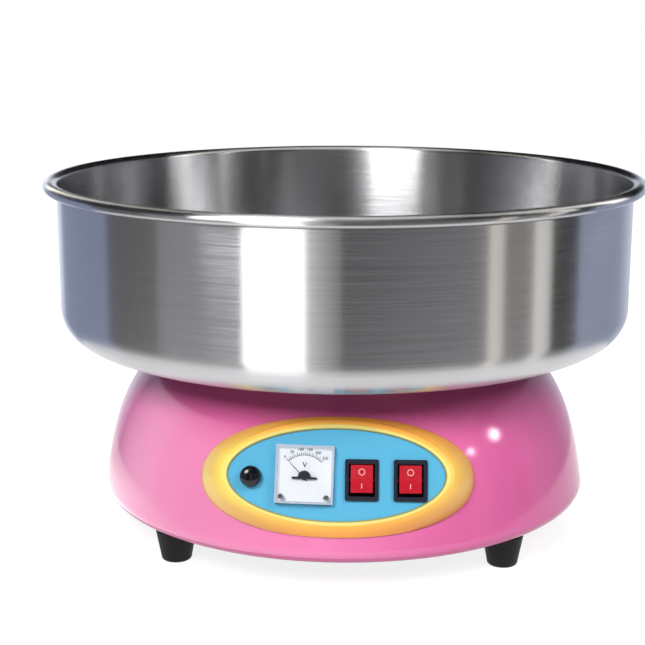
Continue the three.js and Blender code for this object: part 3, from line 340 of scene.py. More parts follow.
def plated(name, colour, roughness, cloud_size=0.012):
    """Bright or dull metal whose gloss drifts in soft clouds, as plating and castings do."""
    material, tree = new_material(name)
    place = add_node(tree, "TexCoord").outputs["Object"]
    clouds = add_node(tree, "TexNoise", {"Vector": place, "Scale": 1 / cloud_size, "Detail": 4.0})
    sheen = add_node(tree, "MapRange", {
        "Value": clouds.outputs["Fac"], "To Min": roughness * 0.75, "To Max": roughness * 1.25})
    fine = add_node(tree, "TexNoise", {"Vector": place, "Scale": 1 / GRAIN_SIZE, "Detail": 2.0})
    bump = add_node(tree, "Bump", {
        "Height": fine.outputs["Fac"], "Strength": 0.1, "Distance": 0.00005})
    shader = add_node(tree, "BsdfPrincipled", {
        "Base Color": linear(colour), "Metallic": 1.0, "Roughness": sheen.outputs["Result"],
        "Normal": bump.outputs["Normal"]})
    add_node(tree, "OutputMaterial", {"Surface": shader.outputs["BSDF"]})
    return material


def paint_nodes(material, *names):
    """Gives frame nodes that stay in view a better material."""
    for name in names:
        for material_slot in frame["nodes"][name].material_slots:
            material_slot.material = material


zinc_plate = plated("zinc plated steel", "#c3c5c9", 0.4)
paint_nodes(zinc_plate, "base_plate", "foot_bolt_front_left", "foot_bolt_front_right",
            "foot_bolt_rear_left", "foot_bolt_rear_right")

# Cord grommet and gasket
# A soft rubber bush with a flange each side of the housing wall, and a flat rubber ring under the bowl.

paint_nodes(black_rubber, "cord_grommet", "bowl_gasket", "motor_mount_ring")

# Motor
# An open commutator motor hung under the deck: painted can, cast end bell, copper windings, steel rotor,
# ground shaft in two bearings and a moulded fan. It keeps its frame shapes, out of sight in the housing.
# Stoved paint and ABS are evenly dull, wire and laminations glint finely, and castings are cloudy.

motor_paint = moulded("grey stoved motor paint", "#8b8f94", 0.45)
copper_wire = plated("enamelled copper wire", "#b4703f", 0.35, cloud_size=0.004)
rotor_steel = plated("laminated rotor steel", "#85888c", 0.45, cloud_size=0.004)
cast_aluminium = plated("sand cast aluminium", "#b1b3b6", 0.42, cloud_size=0.006)
black_abs = moulded("moulded black ABS", "#1d1f25", 0.32)
cream_abs = moulded("moulded cream ABS", "#e2dac4", 0.45)
paint_nodes(motor_paint, "motor_can")
paint_nodes(copper_wire, "motor_stator")
paint_nodes(rotor_steel, "rotor")
paint_nodes(cast_aluminium, "motor_end_bell")
paint_nodes(zinc_plate, "motor_bearing_lower", "motor_bearing_upper", "motor_shaft")
paint_nodes(black_abs, "cooling_fan")
paint_nodes(cream_abs, "terminal_block")

# Slip rings and brushes
# Two brass rings on a moulded sleeve carry the heater's current from spring-loaded carbon brushes. Machined
# brass is bright and warm, and pressed carbon is a dull near-black.

machined_brass = plated("machined brass", "#c6a04d", 0.28, cloud_size=0.005)
pressed_carbon = moulded("pressed carbon", "#27272a", 0.7)
paint_nodes(machined_brass, "slip_ring_lower", "slip_ring_upper")
paint_nodes(pressed_carbon, "carbon_brush_lower", "carbon_brush_upper")
paint_nodes(zinc_plate, "brush_spring_lower", "brush_spring_upper")
paint_nodes(cream_abs, "brush_holder", "slip_ring_sleeve")

# Turret
# The drawn stainless cover over the slip rings, flanged at its foot and open round the shaft, held with
# the motor by three pan head screws. It is turned on a lathe and brushed as it turns.

TURRET_RADIUS = 0.062
TURRET_WALL = 0.0015
TURRET_CORNER = 0.006
TURRET_FILLET = 0.002
TURRET_HOLE_RADIUS = 0.014
RING_MARK_SIZE = 0.001
RING_MARK_LENGTH = 0.1
RING_MARK_SHADE = 0.03


def lathe_finished(name, colour, roughness, anisotropy, mark_depth):
    """Metal brushed or turned on a lathe: fine rings that draw each reflection out across them.

    The rings are drawn about a millimetre apart, coarser than the real grit, so that they show."""
    material, tree = new_material(name)
    place = add_node(tree, "SeparateXYZ", {"Vector": add_node(tree, "TexCoord").outputs["Object"]})
    squares = [add_node(tree, "Math", {0: place.outputs[axis], 1: place.outputs[axis]},
                        operation="MULTIPLY").outputs[0] for axis in ("X", "Y")]
    radius_squared = add_node(tree, "Math", {0: squares[0], 1: squares[1]}, operation="ADD")
    radius = add_node(tree, "Math", {0: radius_squared.outputs[0]}, operation="SQRT")
    along = add_node(tree, "Math", {0: radius.outputs[0], 1: place.outputs["Z"]}, operation="ADD")
    across_rings = add_node(tree, "Math", {
        0: along.outputs[0], 1: 1 / RING_MARK_SIZE}, operation="MULTIPLY")
    lengths = [add_node(tree, "Math", {0: place.outputs[axis], 1: 1 / RING_MARK_LENGTH},
                        operation="MULTIPLY").outputs[0] for axis in ("X", "Y")]
    ring_place = add_node(tree, "CombineXYZ", {
        "X": lengths[0], "Y": lengths[1], "Z": across_rings.outputs[0]})
    rings = add_node(tree, "TexNoise", {
        "Vector": ring_place.outputs["Vector"], "Scale": 1.0, "Detail": 3.0, "Roughness": 0.65})
    gloss = add_node(tree, "MapRange", {
        "Value": rings.outputs["Fac"], "From Min": 0.3, "From Max": 0.7,
        "To Min": roughness * 0.82, "To Max": roughness * 1.18})
    bump = add_node(tree, "Bump", {
        "Height": rings.outputs["Fac"], "Strength": mark_depth, "Distance": 0.00005})
    tangent = add_node(tree, "Tangent", direction_type="RADIAL", axis="Z")
    shade = add_node(tree, "MapRange", {
        "Value": rings.outputs["Fac"], "From Min": 0.3, "From Max": 0.7,
        "To Min": 1 - RING_MARK_SHADE, "To Max": 1 + RING_MARK_SHADE})
    tone = add_node(tree, "VectorMath", {
        0: linear(colour)[:3], "Scale": shade.outputs["Result"]}, operation="SCALE")
    shader = add_node(tree, "BsdfPrincipled", {
        "Base Color": tone.outputs["Vector"], "Metallic": 1.0, "Roughness": gloss.outputs["Result"],
        "Anisotropic": anisotropy, "Anisotropic Rotation": 0.25,
        "Tangent": tangent.outputs["Tangent"], "Normal": bump.outputs["Normal"]})
    add_node(tree, "OutputMaterial", {"Surface": shader.outputs["BSDF"]})
    return material


brushed_steel = lathe_finished("brushed stainless steel", "#cbcbcd", 0.23, 1.0, 0.024)
turret_low, turret_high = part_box("turret")
flange_top = turret_low.z + TURRET_WALL
turret_corner = (TURRET_RADIUS - TURRET_CORNER, turret_high.z - TURRET_CORNER)
turret_profile = [
    (TURRET_RADIUS - TURRET_WALL, turret_low.z), (turret_high.x, turret_low.z),
    (turret_high.x, flange_top), (TURRET_RADIUS + TURRET_FILLET, flange_top),
    *arc((TURRET_RADIUS + TURRET_FILLET, flange_top + TURRET_FILLET), TURRET_FILLET, 270, 180, 4),
    *arc(turret_corner, TURRET_CORNER, 0, 90, 8),
    (TURRET_HOLE_RADIUS, turret_high.z), (TURRET_HOLE_RADIUS, turret_high.z - TURRET_WALL),
    *arc(turret_corner, TURRET_CORNER - TURRET_WALL, 90, 0, 8)]
turret = turned("turret_cover", turret_profile, closed=True, steps=128)
put_on(turret, brushed_steel, "base")
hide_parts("turret")

SEAT_GAP = 0.0003
SCREW_POINT = 0.0005
MOTOR_SCREW_RADIUS = 0.0025
MOTOR_SCREW_HEAD_RADIUS = 0.0045
MOTOR_SCREW_SLOT_WIDTH = 0.001


def cube_at(place):
    """A unit cube put in its place, as a cutting tool or a mark."""
    clear_selection()
    bpy.ops.mesh.primitive_cube_add(size=1)
    cube = bpy.context.object
    settle(cube, place)
    return cube


def slotted_screw(name, shank_radius, length, head_radius, head_height, slot_width):
    """A pan head screw whose head stands on height zero, domed and cut by one slot."""
    dome = [(head_radius * cos(a), head_height * (0.45 + 0.55 * sin(a)))
            for a in [radians(10 * i) for i in range(9)]]
    profile = [(0, -length), (shank_radius * 0.8, -length), (shank_radius, -length + SCREW_POINT),
               (shank_radius, 0), (head_radius, 0), *dome, (0, head_height)]
    screw = turned(name, profile, steps=48)
    cut_away(screw, cube_at(Matrix.Translation((0, 0, head_height))
                            @ Matrix.Diagonal((head_radius * 3, slot_width, head_height * 0.9, 1))))
    finish_mesh(screw)
    return screw


motor_screw_low, motor_screw_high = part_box("motor_screw_1")
head_seat = flange_top + SEAT_GAP
motor_screw_pattern = slotted_screw(
    "motor_screw_pattern", MOTOR_SCREW_RADIUS, head_seat - motor_screw_low.z, MOTOR_SCREW_HEAD_RADIUS,
    motor_screw_high.z - head_seat, MOTOR_SCREW_SLOT_WIDTH)
for i in (1, 2, 3):
    place = middle_of("motor_screw_%d" % i, head_seat) @ Matrix.Rotation(radians(50 * i), 4, "Z")
    screw = copy_of(motor_screw_pattern, "turret_screw_%d" % i, place)
    put_on(screw, zinc_plate, "base")
    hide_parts("motor_screw_%d" % i)
bpy.data.objects.remove(motor_screw_pattern)

# Bowl
# A wide dish spun from 1.2 mm stainless sheet over a former, its hole flanged up and its rim rolled
# outwards into a bead, then brushed as it turned.

BOWL_WALL = 0.0012
BOWL_WALL_RADIUS = 0.2487
BOWL_CORNER = 0.029
BOWL_HOLE_RADIUS = 0.084
BOWL_COLLAR = 0.01
COLLAR_BEND = 0.003
RIM_HALF_HEIGHT = 0.0049
RIM_CURL = 315
RIM_STEPS = 36

bowl_low, bowl_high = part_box("bowl")
curl_half_width = (bowl_high.x - BOWL_WALL_RADIUS) / 2
curl_centre = (bowl_high.x - curl_half_width - BOWL_WALL / 2, bowl_high.z - RIM_HALF_HEIGHT)


def curl(offset):
    """The rolled rim's section, at an offset from the middle of the sheet."""
    angles = [pi - radians(RIM_CURL) * i / RIM_STEPS for i in range(RIM_STEPS + 1)]
    return [(curl_centre[0] + (curl_half_width + offset) * cos(a),
             curl_centre[1] + (RIM_HALF_HEIGHT - BOWL_WALL / 2 + offset) * sin(a)) for a in angles]


bowl_corner = (BOWL_WALL_RADIUS - BOWL_CORNER, bowl_low.z + BOWL_CORNER)
collar_corner = (BOWL_HOLE_RADIUS + COLLAR_BEND, bowl_low.z + COLLAR_BEND)
bowl_profile = [
    (collar_corner[0], bowl_low.z), *arc(bowl_corner, BOWL_CORNER, 270, 360, 20),
    *curl(-BOWL_WALL / 2), *reversed(curl(BOWL_WALL / 2)),
    *arc(bowl_corner, BOWL_CORNER - BOWL_WALL, 360, 270, 20),
    *arc(collar_corner, COLLAR_BEND - BOWL_WALL, 270, 180, 4),
    (BOWL_HOLE_RADIUS + BOWL_WALL, bowl_low.z + BOWL_COLLAR),
    (BOWL_HOLE_RADIUS, bowl_low.z + BOWL_COLLAR),
    *arc(collar_corner, COLLAR_BEND, 180, 270, 4)[:-1]]
bowl = turned("spun_bowl", bowl_profile, closed=True)
put_on(bowl, brushed_steel, "bowl_set")
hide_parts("bowl")

# Thumb screws
# Three stainless screws with knurled heads, turned by hand to free the bowl for washing. They are turned
# from bar, so that their gloss breaks up into small bright patches.

KNURL_COUNT = 36
KNURL_DEPTH = 0.0003
THUMB_SHANK_RADIUS = 0.0025
THUMB_POINT_RADIUS = 0.0022
THUMB_POINT_LENGTH = 0.0004
THUMB_CHAMFER = 0.0006
THUMB_SHOULDER = 0.001
THUMB_DISH_MOUTH_RADIUS = 0.0045
THUMB_DISH_RADIUS = 0.004

thumb_low, thumb_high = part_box("bowl_thumb_screw_1")
thumb_head_radius = (thumb_high.x - thumb_low.x) / 2
thumb_seat = bowl_low.z + BOWL_WALL + SEAT_GAP
thumb_head_height = thumb_high.z - thumb_seat
thumb_tip = thumb_low.z - thumb_seat
dish_floor = thumb_head_height - THUMB_CHAMFER
thumb_profile = [
    (0, thumb_tip), (THUMB_POINT_RADIUS, thumb_tip),
    (THUMB_SHANK_RADIUS, thumb_tip + THUMB_POINT_LENGTH), (THUMB_SHANK_RADIUS, 0),
    (thumb_head_radius - THUMB_CHAMFER, 0), (thumb_head_radius, THUMB_CHAMFER),
    (thumb_head_radius, thumb_head_height - 2 * THUMB_CHAMFER),
    (thumb_head_radius - THUMB_SHOULDER, thumb_head_height),
    (THUMB_DISH_MOUTH_RADIUS, thumb_head_height), (THUMB_DISH_RADIUS, dish_floor), (0, dish_floor)]
thumb_pattern = turned("thumb_screw_pattern", thumb_profile, steps=2 * KNURL_COUNT, smooth_degrees=12)
bpy.ops.object.mode_set(mode="EDIT")
bpy.ops.mesh.select_all(action="DESELECT")
drawing = bmesh.from_edit_mesh(thumb_pattern.data)
for vertex in drawing.verts:
    ridge = round(atan2(vertex.co.y, vertex.co.x) / (2 * pi) * 2 * KNURL_COUNT)
    vertex.select = ridge % 2 == 0 and hypot(vertex.co.x, vertex.co.y) > thumb_head_radius - 1e-5
drawing.select_flush_mode()
bmesh.update_edit_mesh(thumb_pattern.data)
shrink = 1 - KNURL_DEPTH / thumb_head_radius
bpy.ops.transform.resize(value=(shrink, shrink, 1), center_override=(0, 0, 0))
bpy.ops.object.mode_set(mode="OBJECT")
bright_steel = plated("turned stainless steel", "#c9cacd", 0.25, cloud_size=0.003)
for i in (1, 2, 3):
    screw = copy_of(thumb_pattern, "knurled_screw_%d" % i, middle_of("bowl_thumb_screw_%d" % i, thumb_seat))
    put_on(screw, bright_steel, "bowl_set")
    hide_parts("bowl_thumb_screw_%d" % i)
bpy.data.objects.remove(thumb_pattern)

# Spinner head
# A cast aluminium pan and cover turned smooth, with the sugar cup in its middle, a slotted stainless band
# round the heater between them, and a nut that clamps them on the shaft. Turning leaves dull silky rings.

HEAD_RADIUS = 0.072
HEAD_HUB_RADIUS = 0.014
HEAD_BORE_RADIUS = 0.0063
HEAD_FLOOR = 0.003
HEAD_RIM_WALL = 0.003
HEAD_EDGE = 0.001
HEAD_HUB_DROP = 0.004
HEAD_RIM_HEIGHT = 0.008

turned_aluminium = lathe_finished("turned cast aluminium", "#bfc1c4", 0.4, 0.7, 0.2)
base_low, base_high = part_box("head_base")
pan_bottom = base_low.z + HEAD_HUB_DROP
rim_top = pan_bottom + HEAD_RIM_HEIGHT
pan_profile = [
    (HEAD_BORE_RADIUS, base_low.z), (HEAD_HUB_RADIUS - HEAD_EDGE, base_low.z),
    (HEAD_HUB_RADIUS, base_low.z + HEAD_EDGE), (HEAD_HUB_RADIUS, pan_bottom),
    (HEAD_RADIUS - 2 * HEAD_EDGE, pan_bottom), *arc(
        (HEAD_RADIUS - 2 * HEAD_EDGE, pan_bottom + 2 * HEAD_EDGE), 2 * HEAD_EDGE, 285, 360, 5),
    (HEAD_RADIUS, rim_top), (HEAD_RADIUS - HEAD_RIM_WALL, rim_top),
    (HEAD_RADIUS - HEAD_RIM_WALL, pan_bottom + HEAD_FLOOR), (HEAD_HUB_RADIUS, pan_bottom + HEAD_FLOOR),
    (HEAD_HUB_RADIUS, base_high.z), (HEAD_BORE_RADIUS, base_high.z)]
pan = turned("head_pan", pan_profile, closed=True, steps=128)
put_on(pan, turned_aluminium, "spinner")
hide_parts("head_base")

BAND_WALL = 0.0012
BAND_SLOTS = 72
BAND_MARGIN = 0.003
BAND_SLOT_EDGE = 0.0007
band_low, band_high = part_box("mesh_band")
band_radius = band_high.x - BAND_WALL / 2
clear_selection()
bpy.ops.mesh.primitive_circle_add(vertices=BAND_SLOTS * 2, radius=band_radius, location=(0, 0, band_low.z))
band = bpy.context.object
band.name = "slotted_band"
settle(band)
bpy.ops.object.mode_set(mode="EDIT")
bpy.ops.mesh.select_all(action="SELECT")
for rise in (BAND_MARGIN, band_high.z - band_low.z - 2 * BAND_MARGIN, BAND_MARGIN):
    bpy.ops.mesh.extrude_region_move(TRANSFORM_OT_translate={"value": (0, 0, rise)})
bpy.ops.mesh.select_all(action="DESELECT")
drawing = bmesh.from_edit_mesh(band.data)
middle_height = (band_low.z + band_high.z) / 2
for face in drawing.faces:
    centre = face.calc_center_median()
    sector = int((atan2(centre.y, centre.x) % (2 * pi)) / (pi / BAND_SLOTS))
    face.select = sector % 2 == 0 and abs(centre.z - middle_height) < BAND_MARGIN
bmesh.update_edit_mesh(band.data)
bpy.ops.mesh.inset(thickness=BAND_SLOT_EDGE, use_individual=True)
bpy.ops.mesh.delete(type="FACE")
finish_mesh(band)
modify(band, "SOLIDIFY", thickness=BAND_WALL, offset=0)
finish_mesh(band)
put_on(band, bright_steel, "spinner")
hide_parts("mesh_band")

CUP_FLOOR_RADIUS = 0.032
CUP_MOUTH_RADIUS = 0.0385
CUP_WALL = 0.0015
CUP_LIP = 0.0025
CUP_EDGE = 0.0005
CUP_BEND = 0.001
COVER_THICKNESS = 0.0025
CUP_SLOTS = 8
CUP_SLOT_WIDTH = 0.009
CUP_SLOT_HEIGHT = 0.004
top_low, top_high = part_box("head_top")
cover_bottom = top_high.z - CUP_LIP - COVER_THICKNESS
cover_top = cover_bottom + COVER_THICKNESS
cup_profile = [
    (HEAD_BORE_RADIUS, top_low.z), (CUP_FLOOR_RADIUS, top_low.z),
    (CUP_MOUTH_RADIUS + CUP_WALL, cover_bottom), (HEAD_RADIUS - HEAD_EDGE, cover_bottom),
    *arc((HEAD_RADIUS - HEAD_EDGE, cover_bottom + HEAD_EDGE), HEAD_EDGE, 285, 360, 3),
    *arc((HEAD_RADIUS - HEAD_EDGE, cover_top - HEAD_EDGE), HEAD_EDGE, 0, 75, 3),
    (HEAD_RADIUS - HEAD_EDGE, cover_top), (CUP_MOUTH_RADIUS + 2 * CUP_WALL, cover_top),
    (CUP_MOUTH_RADIUS + CUP_WALL, top_high.z - CUP_EDGE),
    (CUP_MOUTH_RADIUS + CUP_WALL - CUP_EDGE, top_high.z),
    (CUP_MOUTH_RADIUS, top_high.z - CUP_EDGE),
    (CUP_FLOOR_RADIUS - CUP_WALL + CUP_BEND, top_low.z + CUP_WALL + 2 * CUP_BEND),
    (CUP_FLOOR_RADIUS - CUP_WALL - CUP_BEND, top_low.z + CUP_WALL),
    (HEAD_BORE_RADIUS, top_low.z + CUP_WALL)]
cup = turned("sugar_cup_cover", cup_profile, closed=True, steps=128)
slot_height = top_low.z + 2 * CUP_WALL + CUP_SLOT_HEIGHT / 2
for i in range(CUP_SLOTS):
    cut_away(cup, cube_at(
        Matrix.Rotation(2 * pi * (i + 0.5) / CUP_SLOTS, 4, "Z")
        @ Matrix.Translation((CUP_FLOOR_RADIUS, 0, slot_height))
        @ Matrix.Diagonal((CUP_SLOT_WIDTH, CUP_SLOT_WIDTH, CUP_SLOT_HEIGHT, 1))))
finish_mesh(cup)
put_on(cup, turned_aluminium, "spinner")
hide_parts("head_top")


def refined(node, name, bevel, smooth_degrees=35, segments=2):
    """A copy of a frame node with its triangles joined into faces and its sharp edges rounded."""
    select_only(frame["nodes"][node])
    bpy.ops.object.duplicate(linked=False)
    piece = bpy.context.object
    piece.parent = None
    piece.name = name
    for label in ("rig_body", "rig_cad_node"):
        del piece[label]
    bpy.ops.object.mode_set(mode="EDIT")
    bpy.ops.mesh.select_all(action="SELECT")
    bpy.ops.mesh.remove_doubles(threshold=1e-6)
    bpy.ops.mesh.dissolve_limited(angle_limit=radians(3))
    bpy.ops.object.mode_set(mode="OBJECT")
    modify(piece, "BEVEL", width=bevel, segments=segments, limit_method="ANGLE",
           angle_limit=radians(smooth_degrees))
    bpy.ops.object.shade_smooth_by_angle(angle=radians(smooth_degrees))
    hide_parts(node)
    return piece


# Fired ceramic is a dry, dull cream. The nut's machined brass is the slip rings'.
heater_ceramic = moulded("fired heater ceramic", "#ddd5c4", 0.7)
paint_nodes(heater_ceramic, "heater_ring")
nut = refined("head_nut", "clamp_nut", 0.0005)
put_on(nut, machined_brass, "spinner")

# Panel plate
# A flat plate moulded in sky blue ABS, held behind the bezel's lip by its clips. It keeps its frame shape,
# with openings for the meter, the fuse holder and the two switches. The ABS has an even, soft gloss.

blue_abs = moulded("moulded sky blue ABS", "#5bb2d7", 0.35, grain=0.2, coat=0.1)
paint_nodes(blue_abs, "panel_plate")

# Bezel
# One moulding in yellow ABS that bends with the housing: a raised bead round the window, then a skirt that
# falls away to a thin edge. Painted shade turns the skirt orange towards its edge.

PLATE_SETBACK = 0.0015
LIP = 0.0009
BEAD_WIDTH = 0.0043
BEAD_HEIGHT = 0.0016
BEAD_STAND = 0.0004
BEZEL_HALF_WIDTH = 0.1075
BEZEL_HALF_HEIGHT = 0.0466
BEZEL_DROP = 0.0012
BEZEL_SQUARENESS = 2.2
BEZEL_EDGE = 0.0017
BEZEL_CROWN = 1.7
BEZEL_FOOT_SHARE = 0.85
BEZEL_FOOT_WALL = 0.002
BEZEL_POINTS = 200
BEZEL_RINGS = 10
HALVINGS = 40

lip_back = SEAT_GAP - PLATE_SETBACK
lip_front = lip_back + LIP * 0.5


def window_point(angle, margin):
    return ((WINDOW_HALF_WIDTH + margin) * cos(angle), (WINDOW_HALF_HEIGHT + margin) * sin(angle))


def edge_point(angle):
    """The bezel's outer edge, a slightly squared oval."""
    power = 2 / BEZEL_SQUARENESS
    across, up = cos(angle), sin(angle)
    return (BEZEL_HALF_WIDTH * (1 if across > 0 else -1) * abs(across) ** power,
            BEZEL_HALF_HEIGHT * (1 if up > 0 else -1) * abs(up) ** power - BEZEL_DROP)


def flank_radius(height):
    """The housing's radius at a height on its flank, found by halving the curve."""
    low, high = 0.0, 1.0
    for _ in range(HALVINGS):
        middle = (low + high) / 2
        if flank_point(middle).y < height:
            low = middle
        else:
            high = middle
    return flank_point(low).x


def housing_depth(across, up):
    """How far out of the panel's plane the housing's surface lies, found by halving."""
    low, high = -housing_high.x, 0.02
    for _ in range(HALVINGS):
        middle = (low + high) / 2
        place = panel_frame @ Vector((across, up, middle))
        if hypot(place.x, place.y) > flank_radius(place.z):
            high = middle
        else:
            low = middle
    return low


def skirt_point(angle, share, drop=0.0):
    inner, outer = window_point(angle, BEAD_WIDTH), edge_point(angle)
    across = inner[0] + (outer[0] - inner[0]) * share
    up = inner[1] + (outer[1] - inner[1]) * share
    valley = lip_back + BEAD_HEIGHT - BEAD_STAND
    edge = housing_depth(*outer) + BEZEL_EDGE
    return (across, up, valley + (edge - valley) * share ** BEZEL_CROWN - drop)


def loft(name, rings, closed=True, place=None):
    """Rings of points joined one to the next. It starts as a circle, extruded once for each ring."""
    count = len(rings[0])
    clear_selection()
    bpy.ops.mesh.primitive_circle_add(vertices=count, radius=1)
    piece = bpy.context.object
    piece.name = name
    bpy.ops.object.mode_set(mode="EDIT")
    bpy.ops.mesh.select_all(action="SELECT")
    drawing = bmesh.from_edit_mesh(piece.data)
    drawing.verts.ensure_lookup_table()
    order = {tuple(vertex.co): i for i, vertex in enumerate(drawing.verts)}
    for number, ring in enumerate(rings):
        if number:
            bpy.ops.mesh.extrude_region_move(TRANSFORM_OT_translate={"value": (0, 0, 0)})
            drawing = bmesh.from_edit_mesh(piece.data)
        moved = {}
        for vertex in drawing.verts:
            if vertex.select:
                i = order[tuple(vertex.co)]
                vertex.co = ring[i]
                moved[tuple(vertex.co)] = i
        order = moved
        bmesh.update_edit_mesh(piece.data)
    if closed:
        first = set(tuple(Vector(point)) for point in rings[0])
        for vertex in drawing.verts:
            if tuple(vertex.co) in first:
                vertex.select = True
        drawing.select_flush_mode()
        for edge in drawing.edges:
            edge.select = all(vertex.select for vertex in edge.verts) and len(edge.link_faces) < 2
        bmesh.update_edit_mesh(piece.data)
        bpy.ops.mesh.bridge_edge_loops()
    else:
        bpy.ops.mesh.edge_face_add()
        drawing = bmesh.from_edit_mesh(piece.data)
        for edge in drawing.edges:
            edge.select = len(edge.link_faces) == 1
        bmesh.update_edit_mesh(piece.data)
        bpy.ops.mesh.edge_face_add()
    bpy.ops.object.mode_set(mode="OBJECT")
    finish_mesh(piece)
    if place is not None:
        settle(piece, place)
    return piece


angles = [2 * pi * i / BEZEL_POINTS for i in range(BEZEL_POINTS)]
bead_inside = [[(*window_point(a, BEAD_WIDTH / 2 * (1 - cos(turn))),
                 lip_front + (BEAD_HEIGHT - LIP * 0.5) * sin(turn)) for a in angles]
               for turn in [radians(15 * i) for i in range(1, 7)]]
bead_outside = [[(*window_point(a, BEAD_WIDTH / 2 * (1 + share)),
                  lip_back + BEAD_HEIGHT - BEAD_STAND * (3 - 2 * share) * share ** 2) for a in angles]
                for share in (0.25, 0.5, 0.75)]
skirt = [[skirt_point(a, i / BEZEL_RINGS) for a in angles] for i in range(BEZEL_RINGS + 1)]
edge_foot = [(*edge_point(a), housing_depth(*edge_point(a)) + SEAT_GAP) for a in angles]
pocket = [(*window_point(a, WINDOW_CUT_MARGIN), lip_back) for a in angles]
foot_inside = [skirt_point(a, BEZEL_FOOT_SHARE, BEZEL_FOOT_WALL) for a in angles]
lip = [[(*window_point(a, 0), height) for a in angles] for height in (lip_back, lip_front)]
bezel_rings = [*lip, *bead_inside, *bead_outside, *skirt, edge_foot, foot_inside, pocket]
bezel = loft("panel_surround", bezel_rings, place=panel_frame)

# Moulded yellow ABS with painted shade: the orange is painted in, lightest at the bead and the left end,
# which face the key lamp, and deepest along the top and bottom and to the right, where the skirt turns away
# and lies under the bowl. The bead's inner side is painted darker as the shadow in the gap round the plate,
# and the bead is painted pale as its highlight. These painted tones change over these distances from the
# bead's crest, as shares of its width.
BEAD_PAINTED_SHADOW = (-0.4, -0.15)
BEAD_FADE = (0.2, 0.45)
PAINTED_SHADE_START = 0.45
PAINTED_SHADE_STRETCH = 0.6
PAINTED_SHADE_LEAN = 0.25
yellow_abs, tree = new_material("moulded yellow ABS, with painted orange shade")
place = add_node(tree, "Mapping", {
    "Vector": add_node(tree, "TexCoord").outputs["Object"],
    "Location": panel_frame.inverted().translation,
    "Rotation": panel_frame.inverted().to_euler()})
flat = add_node(tree, "VectorMath", {
    0: place.outputs["Vector"], 1: (PAINTED_SHADE_STRETCH / BEZEL_HALF_WIDTH, 1 / BEZEL_HALF_HEIGHT, 0)},
    operation="MULTIPLY")
reach = add_node(tree, "VectorMath", {0: flat.outputs["Vector"]}, operation="LENGTH")
sideways = add_node(tree, "SeparateXYZ", {"Vector": flat.outputs["Vector"]})
# Painted shade: how deep the orange is painted, growing towards the skirt's edge and to the right, away from
# the key lamp.
painted_shade_reach = add_node(tree, "Math", {
    0: sideways.outputs["X"], 1: PAINTED_SHADE_LEAN, 2: reach.outputs["Value"]}, operation="MULTIPLY_ADD")
depth = add_node(tree, "MapRange", {"Value": painted_shade_reach.outputs[0], "From Min": PAINTED_SHADE_START, "From Max": 1.0})
orange = add_node(tree, "Mix", {
    0: depth.outputs["Result"], 6: linear("#ffdb68"), 7: linear("#ffa747")}, data_type="RGBA")
crest = (WINDOW_HALF_WIDTH + BEAD_WIDTH / 2, WINDOW_HALF_HEIGHT + BEAD_WIDTH / 2)
oval = add_node(tree, "VectorMath", {
    0: place.outputs["Vector"], 1: (1 / crest[0], 1 / crest[1], 0)}, operation="MULTIPLY")
from_crest = add_node(tree, "VectorMath", {0: oval.outputs["Vector"]}, operation="LENGTH")
level = add_node(tree, "VectorMath", {0: place.outputs["Vector"], 1: (1, 1, 0)}, operation="MULTIPLY")
outwards = add_node(tree, "VectorMath", {0: level.outputs["Vector"]}, operation="LENGTH")
to_crest = add_node(tree, "Math", {
    0: outwards.outputs["Value"], 1: from_crest.outputs["Value"]}, operation="DIVIDE")
across_bead = add_node(tree, "Math", {
    0: outwards.outputs["Value"], 1: to_crest.outputs[0]}, operation="SUBTRACT")
# Painted shadow in the gap on the bead's inner side, then a painted highlight on the bead itself.
in_bead_shadow = add_node(tree, "MapRange", {
    "Value": across_bead.outputs[0],
    "From Min": BEAD_PAINTED_SHADOW[0] * BEAD_WIDTH, "From Max": BEAD_PAINTED_SHADOW[1] * BEAD_WIDTH})
bead_shadow_and_highlight = add_node(tree, "Mix", {
    0: in_bead_shadow.outputs["Result"], 6: linear("#a3964c"), 7: linear("#ecdf84")}, data_type="RGBA")
past_bead = add_node(tree, "MapRange", {
    "Value": across_bead.outputs[0],
    "From Min": BEAD_FADE[0] * BEAD_WIDTH, "From Max": BEAD_FADE[1] * BEAD_WIDTH})
bezel_tone_and_painted_light = add_node(tree, "Mix", {
    0: past_bead.outputs["Result"], 6: bead_shadow_and_highlight.outputs[2], 7: orange.outputs[2]}, data_type="RGBA")
grains = add_node(tree, "TexNoise", {
    "Vector": add_node(tree, "TexCoord").outputs["Object"], "Scale": 1 / GRAIN_SIZE, "Detail": 2.0})
bump = add_node(tree, "Bump", {"Height": grains.outputs["Fac"], "Strength": 0.1, "Distance": 0.00005})
shader = add_node(tree, "BsdfPrincipled", {
    "Base Color": bezel_tone_and_painted_light.outputs[2], "Roughness": 0.3, "IOR": 1.5, "Coat Weight": 0.2,
    "Coat Roughness": 0.1, "Normal": bump.outputs["Normal"]})
add_node(tree, "OutputMaterial", {"Surface": shader.outputs["BSDF"]})
put_on(bezel, yellow_abs, "base")
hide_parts("panel_bezel")

# Voltmeter
# A square panel meter in white ABS under a clear bevelled cover, held by two small screws. The dial is a
# white painted plate with a printed scale; the needle swings under a black shroud. Paint and ink are matt,
# so that the scale reads.

